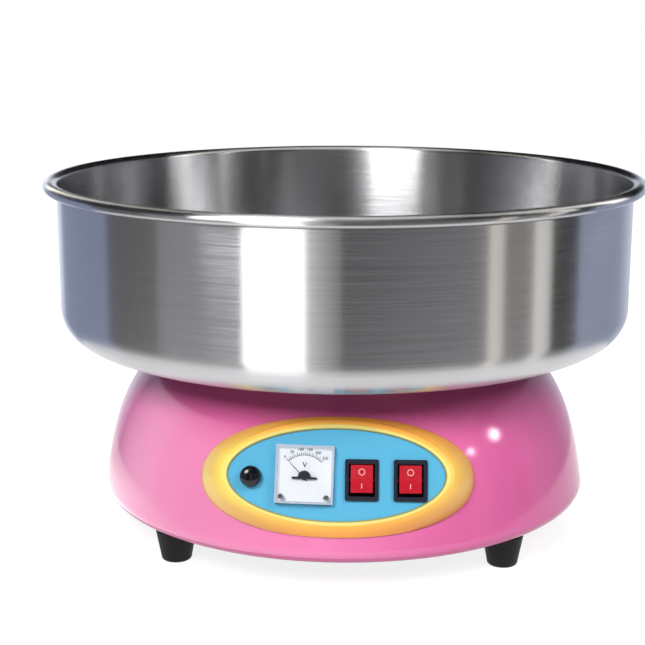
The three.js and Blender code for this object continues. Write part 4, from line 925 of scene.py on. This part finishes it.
METER_PLACE = Vector((-0.0245, 0.0001, 0))
METER_TURN = radians(-1.4)
METER_WIDTH = 0.045
METER_CORNER = 0.0012
METER_BEVEL = 0.0018
COVER_WALL = 0.0013
COVER_HEIGHT = 0.0055
COVER_EDGE = 0.0002
CASE_FLANGE = 0.003
PIVOT_DROP = 0.0027
DIAL_THICKNESS = 0.0005
SCALE_RADIUS = 0.0176
SCALE_START = 135
SCALE_SWEEP = 90
SCALE_STEPS = 10
VOLTS_PER_NUMBER = 50
LONG_MARK = 0.0026
SHORT_MARK = 0.0017
MARK_WIDTH = 0.00045
SCALE_LINE_WIDTH = 0.0004
NUMBER_SIZE = 0.0031
NUMBER_BOLDNESS = 0.00005
NUMBER_RADIUS = SCALE_RADIUS + 0.0044
UNIT_SIZE = 0.0055
UNIT_BOLDNESS = 0.0001
UNIT_HEIGHT = 0.0055
PRINT_THICKNESS = 0.00008
COVER_SCREW_OFFSET = 0.0174

meter_frame = panel_frame @ Matrix.Translation(METER_PLACE) @ Matrix.Rotation(METER_TURN, 4, "Z")
case_bottom = lip_back
case_top = case_bottom + CASE_FLANGE
cover_bottom = case_top + SEAT_GAP
cover_top = cover_bottom + COVER_HEIGHT
bevel_bottom = cover_top - METER_BEVEL
dial_top = cover_bottom + DIAL_THICKNESS

white_abs = moulded("moulded white ABS", "#eef0f3", 0.35)
dial_paint = moulded("white painted dial", "#f7f8f9", 0.5, grain=0.05)
case = refined("meter_case", "meter_body", 0.0005)
put_on(case, white_abs, "base")
paint_nodes(dial_paint, "meter_dial")


def rounded_square(width, corner, height, steps=6):
    """A ring of points round a square with rounded corners, at a height."""
    reach = width / 2 - corner
    corners = [((reach, reach), 0), ((-reach, reach), 90), ((-reach, -reach), 180), ((reach, -reach), 270)]
    return [(*point, height) for centre, start in corners
            for point in arc(centre, corner, start, start + 90, steps)]


cover_face = METER_WIDTH - 2 * METER_BEVEL
cover_inside = METER_WIDTH - 2 * COVER_WALL
cover = loft("meter_glass", [
    rounded_square(cover_inside, METER_CORNER / 2, cover_bottom),
    rounded_square(METER_WIDTH, METER_CORNER, cover_bottom),
    rounded_square(METER_WIDTH, METER_CORNER, bevel_bottom - COVER_EDGE),
    rounded_square(METER_WIDTH - COVER_EDGE, METER_CORNER, bevel_bottom),
    rounded_square(cover_face + 2 * COVER_EDGE, METER_CORNER, cover_top - COVER_EDGE),
    rounded_square(cover_face, METER_CORNER, cover_top)], closed=False)
settle(cover, meter_frame)

# Clear acrylic is all but unseen from the front, with a faint mirror. Its bevelled edges get a pale blue
# painted light, a colour that stands for the light they catch.
clear_acrylic, tree = new_material("clear acrylic")
gloss = add_node(tree, "BsdfGlossy", {"Color": (1, 1, 1, 1), "Roughness": 0.04})
through = add_node(tree, "BsdfTransparent", {"Color": linear("#fbfcfe")})
fresnel = add_node(tree, "Fresnel", {"IOR": 1.45})
clear = add_node(tree, "MixShader", {
    0: fresnel.outputs["Fac"], 1: through.outputs["BSDF"], 2: gloss.outputs["BSDF"]})
add_node(tree, "OutputMaterial", {"Surface": clear.outputs["Shader"]})
edge_painted_light, tree = new_material("moulded edge of clear acrylic")
edge_shine = add_node(tree, "BsdfPrincipled", {
    "Base Color": linear("#cfdcf2"), "Roughness": 0.15, "IOR": 1.49})
through = add_node(tree, "BsdfTransparent", {"Color": linear("#f2f6fd")})
edge_mix = add_node(tree, "MixShader", {
    0: 0.6, 1: through.outputs["BSDF"], 2: edge_shine.outputs["BSDF"]})
add_node(tree, "OutputMaterial", {"Surface": edge_mix.outputs["Shader"]})
put_on(cover, clear_acrylic, "base")
cover.data.materials.append(edge_painted_light)
face_out = (meter_frame.to_3x3() @ Vector((0, 0, 1))).normalized()
for face in cover.data.polygons:
    face.material_index = 0 if abs(face.normal.dot(face_out)) > 0.95 else 1
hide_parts("meter_cover")

black_ink = moulded("black printing ink", "#1e2026", 0.5, grain=0.05)


def on_scale(radius, angle):
    """A place on the dial, on a circle round the needle's pivot."""
    return Matrix.Translation((radius * cos(angle), radius * sin(angle) - PIVOT_DROP, dial_top))


def printed_text(body, size, boldness, align, place):
    """Flat printed characters, made a mesh and put in their place."""
    clear_selection()
    bpy.ops.object.text_add()
    characters = bpy.context.object
    characters.data.body = body
    characters.data.size = size
    characters.data.align_x = "CENTER"
    characters.data.align_y = align
    characters.data.extrude = PRINT_THICKNESS / 2
    characters.data.offset = boldness
    bpy.ops.object.convert(target="MESH")
    settle(characters, place)
    return characters


def joined(pieces, name):
    """Pieces made one, as part of the last of them."""
    clear_selection()
    for piece in pieces:
        piece.select_set(True)
    bpy.context.view_layer.objects.active = pieces[-1]
    bpy.ops.object.join()
    pieces[-1].name = name
    return pieces[-1]


marks = []
for i in range(2 * SCALE_STEPS + 1):
    angle = radians(SCALE_START - SCALE_SWEEP * i / (2 * SCALE_STEPS))
    length = LONG_MARK if i % 2 == 0 else SHORT_MARK
    marks.append(cube_at(
        on_scale(SCALE_RADIUS + length / 2, angle) @ Matrix.Rotation(angle, 4, "Z")
        @ Matrix.Diagonal((length, MARK_WIDTH, PRINT_THICKNESS, 1))))
for i in range(SCALE_STEPS // 2 + 1):
    angle = radians(SCALE_START - SCALE_SWEEP * i / (SCALE_STEPS / 2))
    marks.append(printed_text(
        str(i * VOLTS_PER_NUMBER), NUMBER_SIZE, NUMBER_BOLDNESS, "CENTER",
        on_scale(NUMBER_RADIUS, angle)))
marks.append(printed_text(
    "V", UNIT_SIZE, UNIT_BOLDNESS, "TOP_BASELINE", Matrix.Translation((0, UNIT_HEIGHT, dial_top))))
scale_line = draw_chain("scale_line", [(*point, dial_top) for point in arc(
    (0, -PIVOT_DROP), SCALE_RADIUS, SCALE_START - SCALE_SWEEP, SCALE_START, 32)])
bpy.ops.mesh.extrude_region_move(TRANSFORM_OT_translate={"value": (0, 0, PRINT_THICKNESS / 2)})
bpy.ops.object.mode_set(mode="OBJECT")
modify(scale_line, "SOLIDIFY", thickness=SCALE_LINE_WIDTH, offset=0)
marks.append(scale_line)
scale_print = joined(marks, "meter_scale")
settle(scale_print, meter_frame)
put_on(scale_print, black_ink, "base")

needle = refined("meter_needle", "needle_blade", 0.00005)
put_on(needle, black_ink, "needle")
shroud = refined("meter_shroud", "needle_shroud", 0.0002)
put_on(shroud, black_abs, "base")

COVER_SCREW_RADIUS = 0.0014
COVER_SCREW_LENGTH = 0.006
COVER_SCREW_HEAD_RADIUS = 0.0021
COVER_SCREW_HEAD_HEIGHT = 0.0007
COVER_SCREW_SLOT_WIDTH = 0.0005
cover_screw_pattern = slotted_screw(
    "cover_screw_pattern", COVER_SCREW_RADIUS, COVER_SCREW_LENGTH, COVER_SCREW_HEAD_RADIUS,
    COVER_SCREW_HEAD_HEIGHT, COVER_SCREW_SLOT_WIDTH)
for side, sign in (("left", -1), ("right", 1)):
    place = meter_frame @ Matrix.Translation(
        (sign * COVER_SCREW_OFFSET, -COVER_SCREW_OFFSET, cover_top + SEAT_GAP))
    screw = copy_of(cover_screw_pattern, "cover_screw_" + side,
                    place @ Matrix.Rotation(radians(35 * sign), 4, "Z"))
    put_on(screw, zinc_plate, "base")
    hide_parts("meter_cover_screw_" + side)
bpy.data.objects.remove(cover_screw_pattern)

# Fuse holder
# A black moulded socket clamped through the plate by a nut, with a domed cap that turns a quarter and
# draws out with the fuse. The cap is phenolic polished by its mould, which mirrors a lamp as a small spot.

FUSE_FLANGE_RADIUS = 0.00815
FUSE_BARREL_RADIUS = 0.006
FUSE_BARREL_LENGTH = 0.036
FUSE_BORE_RADIUS = 0.0036
FUSE_FLANGE = 0.0017
FUSE_EDGE = 0.0004
FUSE_ROOM = 0.0273
CAP_HEIGHT = 0.009
CAP_RIM_SHARE = 0.35
CAP_NECK_RADIUS = 0.0033
CAP_NECK_LENGTH = 0.006

fuse_frame = panel_frame @ Matrix.Translation(FUSE_PLACE)
glossy_black = moulded("polished black phenolic", "#101117", 0.13, grain=0.03)
flange_top = lip_back + FUSE_FLANGE
cap_bottom = flange_top + SEAT_GAP
barrel_end = -PLATE_SETBACK - FUSE_BARREL_LENGTH
bore_end = flange_top - CAP_NECK_LENGTH - FUSE_ROOM
holder_profile = [
    (0, barrel_end), (FUSE_BARREL_RADIUS, barrel_end),
    (FUSE_BARREL_RADIUS, lip_back), (FUSE_FLANGE_RADIUS, lip_back),
    *arc((FUSE_FLANGE_RADIUS - FUSE_EDGE, flange_top - FUSE_EDGE), FUSE_EDGE, 0, 90, 3),
    (FUSE_BORE_RADIUS, flange_top), (FUSE_BORE_RADIUS, bore_end), (0, bore_end)]
holder = turned("fuse_socket", holder_profile, steps=64)
settle(holder, fuse_frame)
put_on(holder, black_abs, "base")
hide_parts("fuse_holder")

rim_height = CAP_HEIGHT * CAP_RIM_SHARE
dome = [(FUSE_FLANGE_RADIUS * cos(a), cap_bottom + rim_height + (CAP_HEIGHT - rim_height) * sin(a))
        for a in [radians(5 * i) for i in range(18)]]
cap_profile = [
    (0, cap_bottom - CAP_NECK_LENGTH), (CAP_NECK_RADIUS, cap_bottom - CAP_NECK_LENGTH),
    (CAP_NECK_RADIUS, cap_bottom), (FUSE_FLANGE_RADIUS - FUSE_EDGE, cap_bottom),
    (FUSE_FLANGE_RADIUS, cap_bottom + FUSE_EDGE), *dome, (0, cap_bottom + CAP_HEIGHT)]
cap = turned("domed_cap", cap_profile, steps=64)
settle(cap, fuse_frame)
put_on(cap, glossy_black, "fuse_cap_body")
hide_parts("fuse_cap")
paint_nodes(black_abs, "fuse_nut")
paint_nodes(zinc_plate, "fuse_link")

# Rocker switches
# Two snap-in switches: a black nylon frame with a deep well, and a V-shaped rocker in clear red
# polycarbonate with an O and an I printed on its halves. Light enters the red a little way, so it glows.

SWITCH_UP = -0.0036
SWITCH_ACROSS = {"motor": 0.0196, "heat": 0.057}
ROCKER_HALF_HEIGHT = 0.0108
ROCKER_CROWN = 0.0041
ROCKER_TILT = radians(10)
PIVOT_DEPTH = -0.0035
MARK_SIZE = 0.0023
MARK_STROKE = 0.0003
O_MARK_FLATNESS = 0.3
I_MARK_WIDTH = 0.00066
I_MARK_LENGTH = 0.00414
I_MARK_EDGE = 0.00009
FLOW_SIZE = 0.004

slate_nylon = moulded("moulded slate black nylon", "#232633", 0.38)
red_polycarbonate, tree = new_material("red polycarbonate")
place = add_node(tree, "TexCoord").outputs["Object"]
flow = add_node(tree, "TexNoise", {"Vector": place, "Scale": 1 / FLOW_SIZE, "Detail": 2.0})
red = add_node(tree, "Mix", {
    0: flow.outputs["Fac"], 6: linear("#b41c2b"), 7: linear("#c92736")}, data_type="RGBA")
shader = add_node(tree, "BsdfPrincipled", {
    "Base Color": red.outputs[2], "Roughness": 0.18, "IOR": 1.58, "Subsurface Weight": 0.3,
    "Subsurface Radius": (0.003, 0.0004, 0.0004), "Subsurface Scale": 1.0,
    "Coat Weight": 0.3, "Coat Roughness": 0.05})
add_node(tree, "OutputMaterial", {"Surface": shader.outputs["BSDF"]})
pale_ink = moulded("pale pink marking ink", "#eeb6bf", 0.4, grain=0.05)

for name, across in SWITCH_ACROSS.items():
    body = refined(name + "_switch_body", name + "_switch_frame", 0.0004)
    put_on(body, slate_nylon, "base")
    rocker = refined(name + "_switch_rocker", name + "_rocker_paddle", 0.0005, smooth_degrees=15)
    put_on(rocker, red_polycarbonate, name + "_rocker")

    rocker_frame = (panel_frame @ Matrix.Translation((across, SWITCH_UP, PIVOT_DEPTH))
                    @ Matrix.Rotation(-ROCKER_TILT, 4, "X"))
    mark_offset = ROCKER_HALF_HEIGHT * 0.5
    half_face = Matrix.Translation((0, 0, ROCKER_CROWN + mark_offset * tan(ROCKER_TILT)))
    clear_selection()
    bpy.ops.mesh.primitive_torus_add(
        major_radius=MARK_SIZE, minor_radius=MARK_STROKE, major_segments=48, minor_segments=8)
    o_mark = bpy.context.object
    settle(o_mark, rocker_frame @ Matrix.Translation((0, mark_offset, 0)) @ half_face
           @ Matrix.Rotation(ROCKER_TILT, 4, "X") @ Matrix.Diagonal((1, 1, O_MARK_FLATNESS, 1)))
    i_mark = cube_at(rocker_frame @ Matrix.Translation((0, -mark_offset, 0)) @ half_face
                     @ Matrix.Rotation(-ROCKER_TILT, 4, "X")
                     @ Matrix.Diagonal((I_MARK_WIDTH, I_MARK_LENGTH, MARK_STROKE, 1)))
    modify(i_mark, "BEVEL", width=I_MARK_EDGE, segments=2)
    rocker_marks = joined([i_mark, o_mark], name + "_rocker_marks")
    finish_mesh(rocker_marks)
    put_on(rocker_marks, pale_ink, name + "_rocker")

# Studio
# A white floor and background, lamps high up on all sides, and a ring of grey and white cards round the
# machine, low ones for the bowl's outside and high ones for its inside. Only gloss sees the cards.

STEEL_REFLECTANCE = 0.6
FLOOR_GLOW = 0.85
FLOOR_FADE = (0.4, 1.2)
FLOOR_GREY = 0.28
FLOOR_BOUNCE = 0.6
AMBIENT = 0.04


def seen_directly(tree):
    """One for rays from the camera, or by way of one gloss or glass, and zero for diffuse light."""
    ray = add_node(tree, "LightPath")
    seen = add_node(tree, "Math", {
        0: ray.outputs["Is Camera Ray"], 1: ray.outputs["Is Glossy Ray"]}, operation="MAXIMUM")
    seen = add_node(tree, "Math", {
        0: seen.outputs[0], 1: ray.outputs["Is Transmission Ray"]}, operation="MAXIMUM")
    for depth, most in (("Diffuse Depth", 0.5), ("Glossy Depth", 1.5)):
        direct = add_node(tree, "Math", {0: ray.outputs[depth], 1: most}, operation="LESS_THAN")
        seen = add_node(tree, "Math", {
            0: seen.outputs[0], 1: direct.outputs[0]}, operation="MULTIPLY")
    return seen


clear_selection()
bpy.ops.mesh.primitive_plane_add(size=30)
floor = bpy.context.object
floor.name = "studio_floor"
floor_paint, tree = new_material("white studio floor")
far = add_node(tree, "VectorMath", {0: add_node(tree, "TexCoord").outputs["Object"]}, operation="LENGTH")
glow = add_node(tree, "MapRange", {
    "Value": far.outputs["Value"], "From Min": FLOOR_FADE[0], "From Max": FLOOR_FADE[1],
    "To Min": FLOOR_GLOW, "To Max": 1.0})
seen = seen_directly(tree)
strength = add_node(tree, "Math", {
    0: glow.outputs["Result"], 1: seen.outputs[0]}, operation="MULTIPLY")
white = add_node(tree, "Emission", {"Color": (1, 1, 1, 1), "Strength": strength.outputs[0]})
unmirrored = add_node(tree, "Math", {
    0: add_node(tree, "LightPath").outputs["Glossy Depth"], 1: 0.5}, operation="LESS_THAN")
bounce = add_node(tree, "Math", {0: unmirrored.outputs[0], 1: FLOOR_BOUNCE}, operation="MULTIPLY")
grey = add_node(tree, "MapRange", {
    "Value": seen.outputs[0], "To Min": bounce.outputs[0], "To Max": FLOOR_GREY})
lit = add_node(tree, "BsdfDiffuse", {"Color": grey.outputs["Result"]})
both = add_node(tree, "AddShader", {0: white.outputs["Emission"], 1: lit.outputs["BSDF"]})
add_node(tree, "OutputMaterial", {"Surface": both.outputs["Shader"]})
floor.data.materials.append(floor_paint)

world = bpy.data.worlds.new("studio")
bpy.context.scene.world = world
world.use_nodes = True
world.node_tree.nodes.clear()
tree = world.node_tree
level = add_node(tree, "MapRange", {
    "Value": seen_directly(tree).outputs[0], "To Min": AMBIENT, "To Max": 1.0})
sky = add_node(tree, "Background", {"Color": (1, 1, 1, 1), "Strength": level.outputs["Result"]})
add_node(tree, "OutputWorld", {"Surface": sky.outputs["Background"]})

CARD_RADIUS = 0.5
LOW_RING = (0.0, 0.36)
HIGH_RING = (0.36, 1.3)
CARD_STEP = 4

metal_pieces = bpy.data.collections.new("metal_pieces")
for piece in (bowl, turret, pan, band, cup, nut):
    metal_pieces.objects.link(piece)


def around(azimuth, height, distance):
    """A place round the machine, its azimuth in degrees from the camera's side, growing to the right."""
    return (distance * sin(radians(azimuth)), -distance * cos(radians(azimuth)), height)


def swept_screen(name, profile, sweep, steps):
    """A profile swept round the machine to the right, in degrees, that only gloss sees.

    It comes with the tree of its empty material, and sockets for a spot's azimuth and height."""
    piece = draw_chain(name, profile)
    bpy.ops.mesh.spin(steps=steps, angle=-radians(sweep), center=(0, 0, 0), axis=(0, 0, 1))
    bpy.ops.object.mode_set(mode="OBJECT")
    for ray_kind in ("camera", "diffuse", "transmission", "volume_scatter", "shadow"):
        setattr(piece, "visible_" + ray_kind, False)
    material, tree = new_material(name)
    piece.data.materials.append(material)
    place = add_node(tree, "SeparateXYZ", {"Vector": add_node(tree, "TexCoord").outputs["Object"]})
    ahead = add_node(tree, "Math", {0: place.outputs["Y"], 1: -1.0}, operation="MULTIPLY")
    azimuth = add_node(tree, "Math", {0: place.outputs["X"], 1: ahead.outputs[0]}, operation="ARCTAN2")
    return piece, tree, azimuth.outputs[0], place.outputs["Z"]


def card(name, start, end, ring, first, last, strength=1.0):
    """A curved card on a ring between two azimuths, its tone running from a first grey to a last one.

    High and bright cards show in metal alone."""
    piece, tree, azimuth, _ = swept_screen(
        name, [around(start, height, CARD_RADIUS) for height in ring], end - start,
        max(2, round((end - start) / CARD_STEP)))
    share = add_node(tree, "MapRange", {
        "Value": azimuth, "From Min": radians(start), "From Max": radians(end)})
    tone = add_node(tree, "Mix", {
        0: share.outputs["Result"], 6: linear(first), 7: linear(last)}, data_type="RGBA")
    glow = add_node(tree, "Emission", {
        "Color": tone.outputs[2], "Strength": strength / STEEL_REFLECTANCE})
    add_node(tree, "OutputMaterial", {"Surface": glow.outputs["Emission"]})
    if ring == HIGH_RING or strength > 1:
        piece.light_linking.receiver_collection = metal_pieces


card("low_rear_left_wall", -180, -134, LOW_RING, "#9a9ca4", "#c8ccd4")
card("low_left_white_wall", -134, -118, LOW_RING, "#d4dbe5", "#a4abbd")
card("low_left_blue_wall", -118, -78, LOW_RING, "#787f94", "#787f94")
card("low_left_grey_wall", -78, -55, LOW_RING, "#545454", "#5e5e5e")
card("low_left_grey_screen", -55, -27, LOW_RING, "#7e7c7e", "#7e7c7e")
card("low_strip_softbox", -27, -9, LOW_RING, "#ffffff", "#ffffff", 1.3)
card("low_softbox_spill", -9, 1, LOW_RING, "#b6b6b6", "#666666")
card("low_front_grey_wall", 1, 43, LOW_RING, "#484749", "#6c6a6c")
card("low_beige_post", 43, 48, LOW_RING, "#c1bcb4", "#c1bcb4", 1.1)
card("low_right_grey_screen", 48, 59, LOW_RING, "#7b7876", "#6c6967")
card("low_white_post", 59, 66, LOW_RING, "#c3c1bc", "#c3c1bc", 1.1)
card("low_right_dark_wall", 66, 79, LOW_RING, "#2c2c2c", "#3c3c3c")
card("low_right_blue_wall", 79, 112, LOW_RING, "#828799", "#808596")
card("low_right_white_wall", 112, 134, LOW_RING, "#8a8e9c", "#b0b4c0")
card("low_rear_right_wall", 134, 180, LOW_RING, "#b0b4c0", "#9a9ca4")

card("high_rear_left_wall", -180, -128, HIGH_RING, "#141414", "#1c1c1c")
card("high_left_beige_screen", -128, -117, HIGH_RING, "#a8a49c", "#b6b2aa", 2.7)
card("high_left_grey_wall", -117, -50, HIGH_RING, "#0c0c0c", "#303030")
card("high_left_grey_post", -50, -42, HIGH_RING, "#484848", "#484848")
card("high_strip_softbox", -40, -13, HIGH_RING, "#ffffff", "#ffffff", 4.0)
card("high_softbox_spill", -13, -4, HIGH_RING, "#bcbcbc", "#707070", 1.6)
card("high_front_grey_wall", -4, 34, HIGH_RING, "#6c6c6c", "#3c3c3c")
card("high_right_grey_wall", 34, 67, HIGH_RING, "#141414", "#0c0c0c")
card("high_white_post", 67, 72, HIGH_RING, "#bebcb6", "#bebcb6", 2.7)
card("high_right_grey_screen", 72, 90, HIGH_RING, "#242424", "#242424")
card("high_beige_screen", 90, 103, HIGH_RING, "#cdcbc5", "#cdcbc5", 2.7)
card("high_rear_grey_screen", 103, 141, HIGH_RING, "#141414", "#181818")
card("high_rear_dark_wall", 141, 180, HIGH_RING, "#181818", "#0c0c0c")

# A wide screen at the front and left that only the housing's gloss sees, fading out at its ends and top.
SHEEN_RADIUS = 0.46
SHEEN_HEIGHT = 0.42
SHEEN_FOOT = 0.002
SHEEN_START = -125
SHEEN_SWEEP = 165
SHEEN_STEPS = 42
SHEEN_LEVEL = 2.9
sheen, tree, azimuth, height = swept_screen("sheen_screen", [
    around(SHEEN_START, SHEEN_FOOT / 2, SHEEN_RADIUS / 2), around(SHEEN_START, SHEEN_FOOT, SHEEN_RADIUS),
    around(SHEEN_START, SHEEN_FOOT + SHEEN_HEIGHT, SHEEN_RADIUS)], SHEEN_SWEEP, SHEEN_STEPS)
level = SHEEN_LEVEL
for value, dark, bright in (
        (azimuth, radians(-120), radians(-75)), (azimuth, radians(40), radians(-20)),
        (height, SHEEN_HEIGHT, 0.18)):
    fade = add_node(tree, "MapRange", {
        "Value": value, "From Min": dark, "From Max": bright}, interpolation_type="SMOOTHSTEP")
    level = add_node(tree, "Math", {0: fade.outputs["Result"], 1: level}, operation="MULTIPLY").outputs[0]
glow = add_node(tree, "Emission", {"Strength": level})
clear = add_node(tree, "BsdfTransparent")
both = add_node(tree, "AddShader", {0: glow.outputs["Emission"], 1: clear.outputs["BSDF"]})
add_node(tree, "OutputMaterial", {"Surface": both.outputs["Shader"]})
enamelled_pieces = bpy.data.collections.new("enamelled_pieces")
enamelled_pieces.objects.link(housing)
sheen.light_linking.receiver_collection = enamelled_pieces


def lamp(name, place, aim, size, power):
    """A square soft lamp turned to its aim, which gloss doesn't see."""
    clear_selection()
    bpy.ops.object.light_add(type="AREA", location=place)
    light = bpy.context.object
    light.name = name
    light.data.size = size
    light.data.energy = power
    light.rotation_euler = (Vector(aim) - Vector(place)).to_track_quat("-Z", "Y").to_euler()
    light.visible_glossy = False
    return light


MACHINE_MIDDLE = (0, 0, 0.12)
lamp("key_lamp", around(-18, 0.95, 1.35), MACHINE_MIDDLE, 0.4, 15.8)
lamp("left_fill_lamp", around(-65, 1.0, 1.28), MACHINE_MIDDLE, 0.6, 2.8)
lamp("right_fill_lamp", around(42, 1.0, 1.28), MACHINE_MIDDLE, 0.6, 10)
lamp("rear_left_lamp", around(-150, 1.0, 1.28), MACHINE_MIDDLE, 0.5, 10)
lamp("rear_right_lamp", around(150, 1.0, 1.28), MACHINE_MIDDLE, 0.5, 10)


def glint(name, place, aim, size, power, piece, spread=180):
    """A lamp that shows on one glossy piece alone as a highlight, brightest in its middle.

    A narrow spread, in degrees, keeps it off the rest of that piece."""
    light = lamp(name, place, aim, size, power)
    light.data.spread = radians(spread)
    light.visible_glossy = True
    light.visible_diffuse = False
    receivers = bpy.data.collections.new(name + "_receivers")
    receivers.objects.link(piece)
    light.light_linking.receiver_collection = receivers
    light.data.use_nodes = True
    tree = light.data.node_tree
    tree.nodes.clear()
    corner = add_node(tree, "NewGeometry").outputs["Parametric"]
    middle = add_node(tree, "VectorMath", {0: corner, 1: (0.5, 0.5, 0)}, operation="DISTANCE")
    falloff = add_node(tree, "MapRange", {
        "Value": middle.outputs["Value"], "From Min": 0.5, "From Max": 0.1}, interpolation_type="SMOOTHSTEP")
    glow = add_node(tree, "Emission", {"Strength": falloff.outputs["Result"]})
    add_node(tree, "OutputLight", {"Surface": glow.outputs["Emission"]})


glint("window_glint", around(69, 0.24, 0.46), (0.123, -0.149, 0.114), 0.07, 0.0035, housing, 16)
glint("lamp_glint", around(54, 0.215, 0.46), (0.102, -0.17, 0.105), 0.04, 0.001, housing, 16)
glint("bezel_softbox", around(35, 0.2, 0.45), (0.05, -0.2, 0.08), 0.3, 0.6, bezel)
glint("cap_glint", around(-38, 0.37, 0.42), (-0.068, -0.209, 0.101), 0.3, 5.0, cap)

# Camera
# A medium telephoto lens a little above the bowl's rim, slightly to the machine's right.

CAMERA_DISTANCE = 1.224
CAMERA_HEIGHT = 0.4485
CAMERA_ROUND = radians(1.5)
CAMERA_YAW = radians(0.893)
CAMERA_PITCH = radians(-12.733)
CAMERA_LENS = 78.01
SENSOR_WIDTH = 36

clear_selection()
bpy.ops.object.camera_add(
    location=(CAMERA_DISTANCE * sin(CAMERA_ROUND), -CAMERA_DISTANCE * cos(CAMERA_ROUND), CAMERA_HEIGHT),
    rotation=(pi / 2 + CAMERA_PITCH, 0, CAMERA_ROUND + CAMERA_YAW))
camera = bpy.context.object
camera.data.lens = CAMERA_LENS
camera.data.sensor_width = SENSOR_WIDTH
bpy.context.scene.camera = camera
bpy.context.scene.view_settings.view_transform = "Standard"
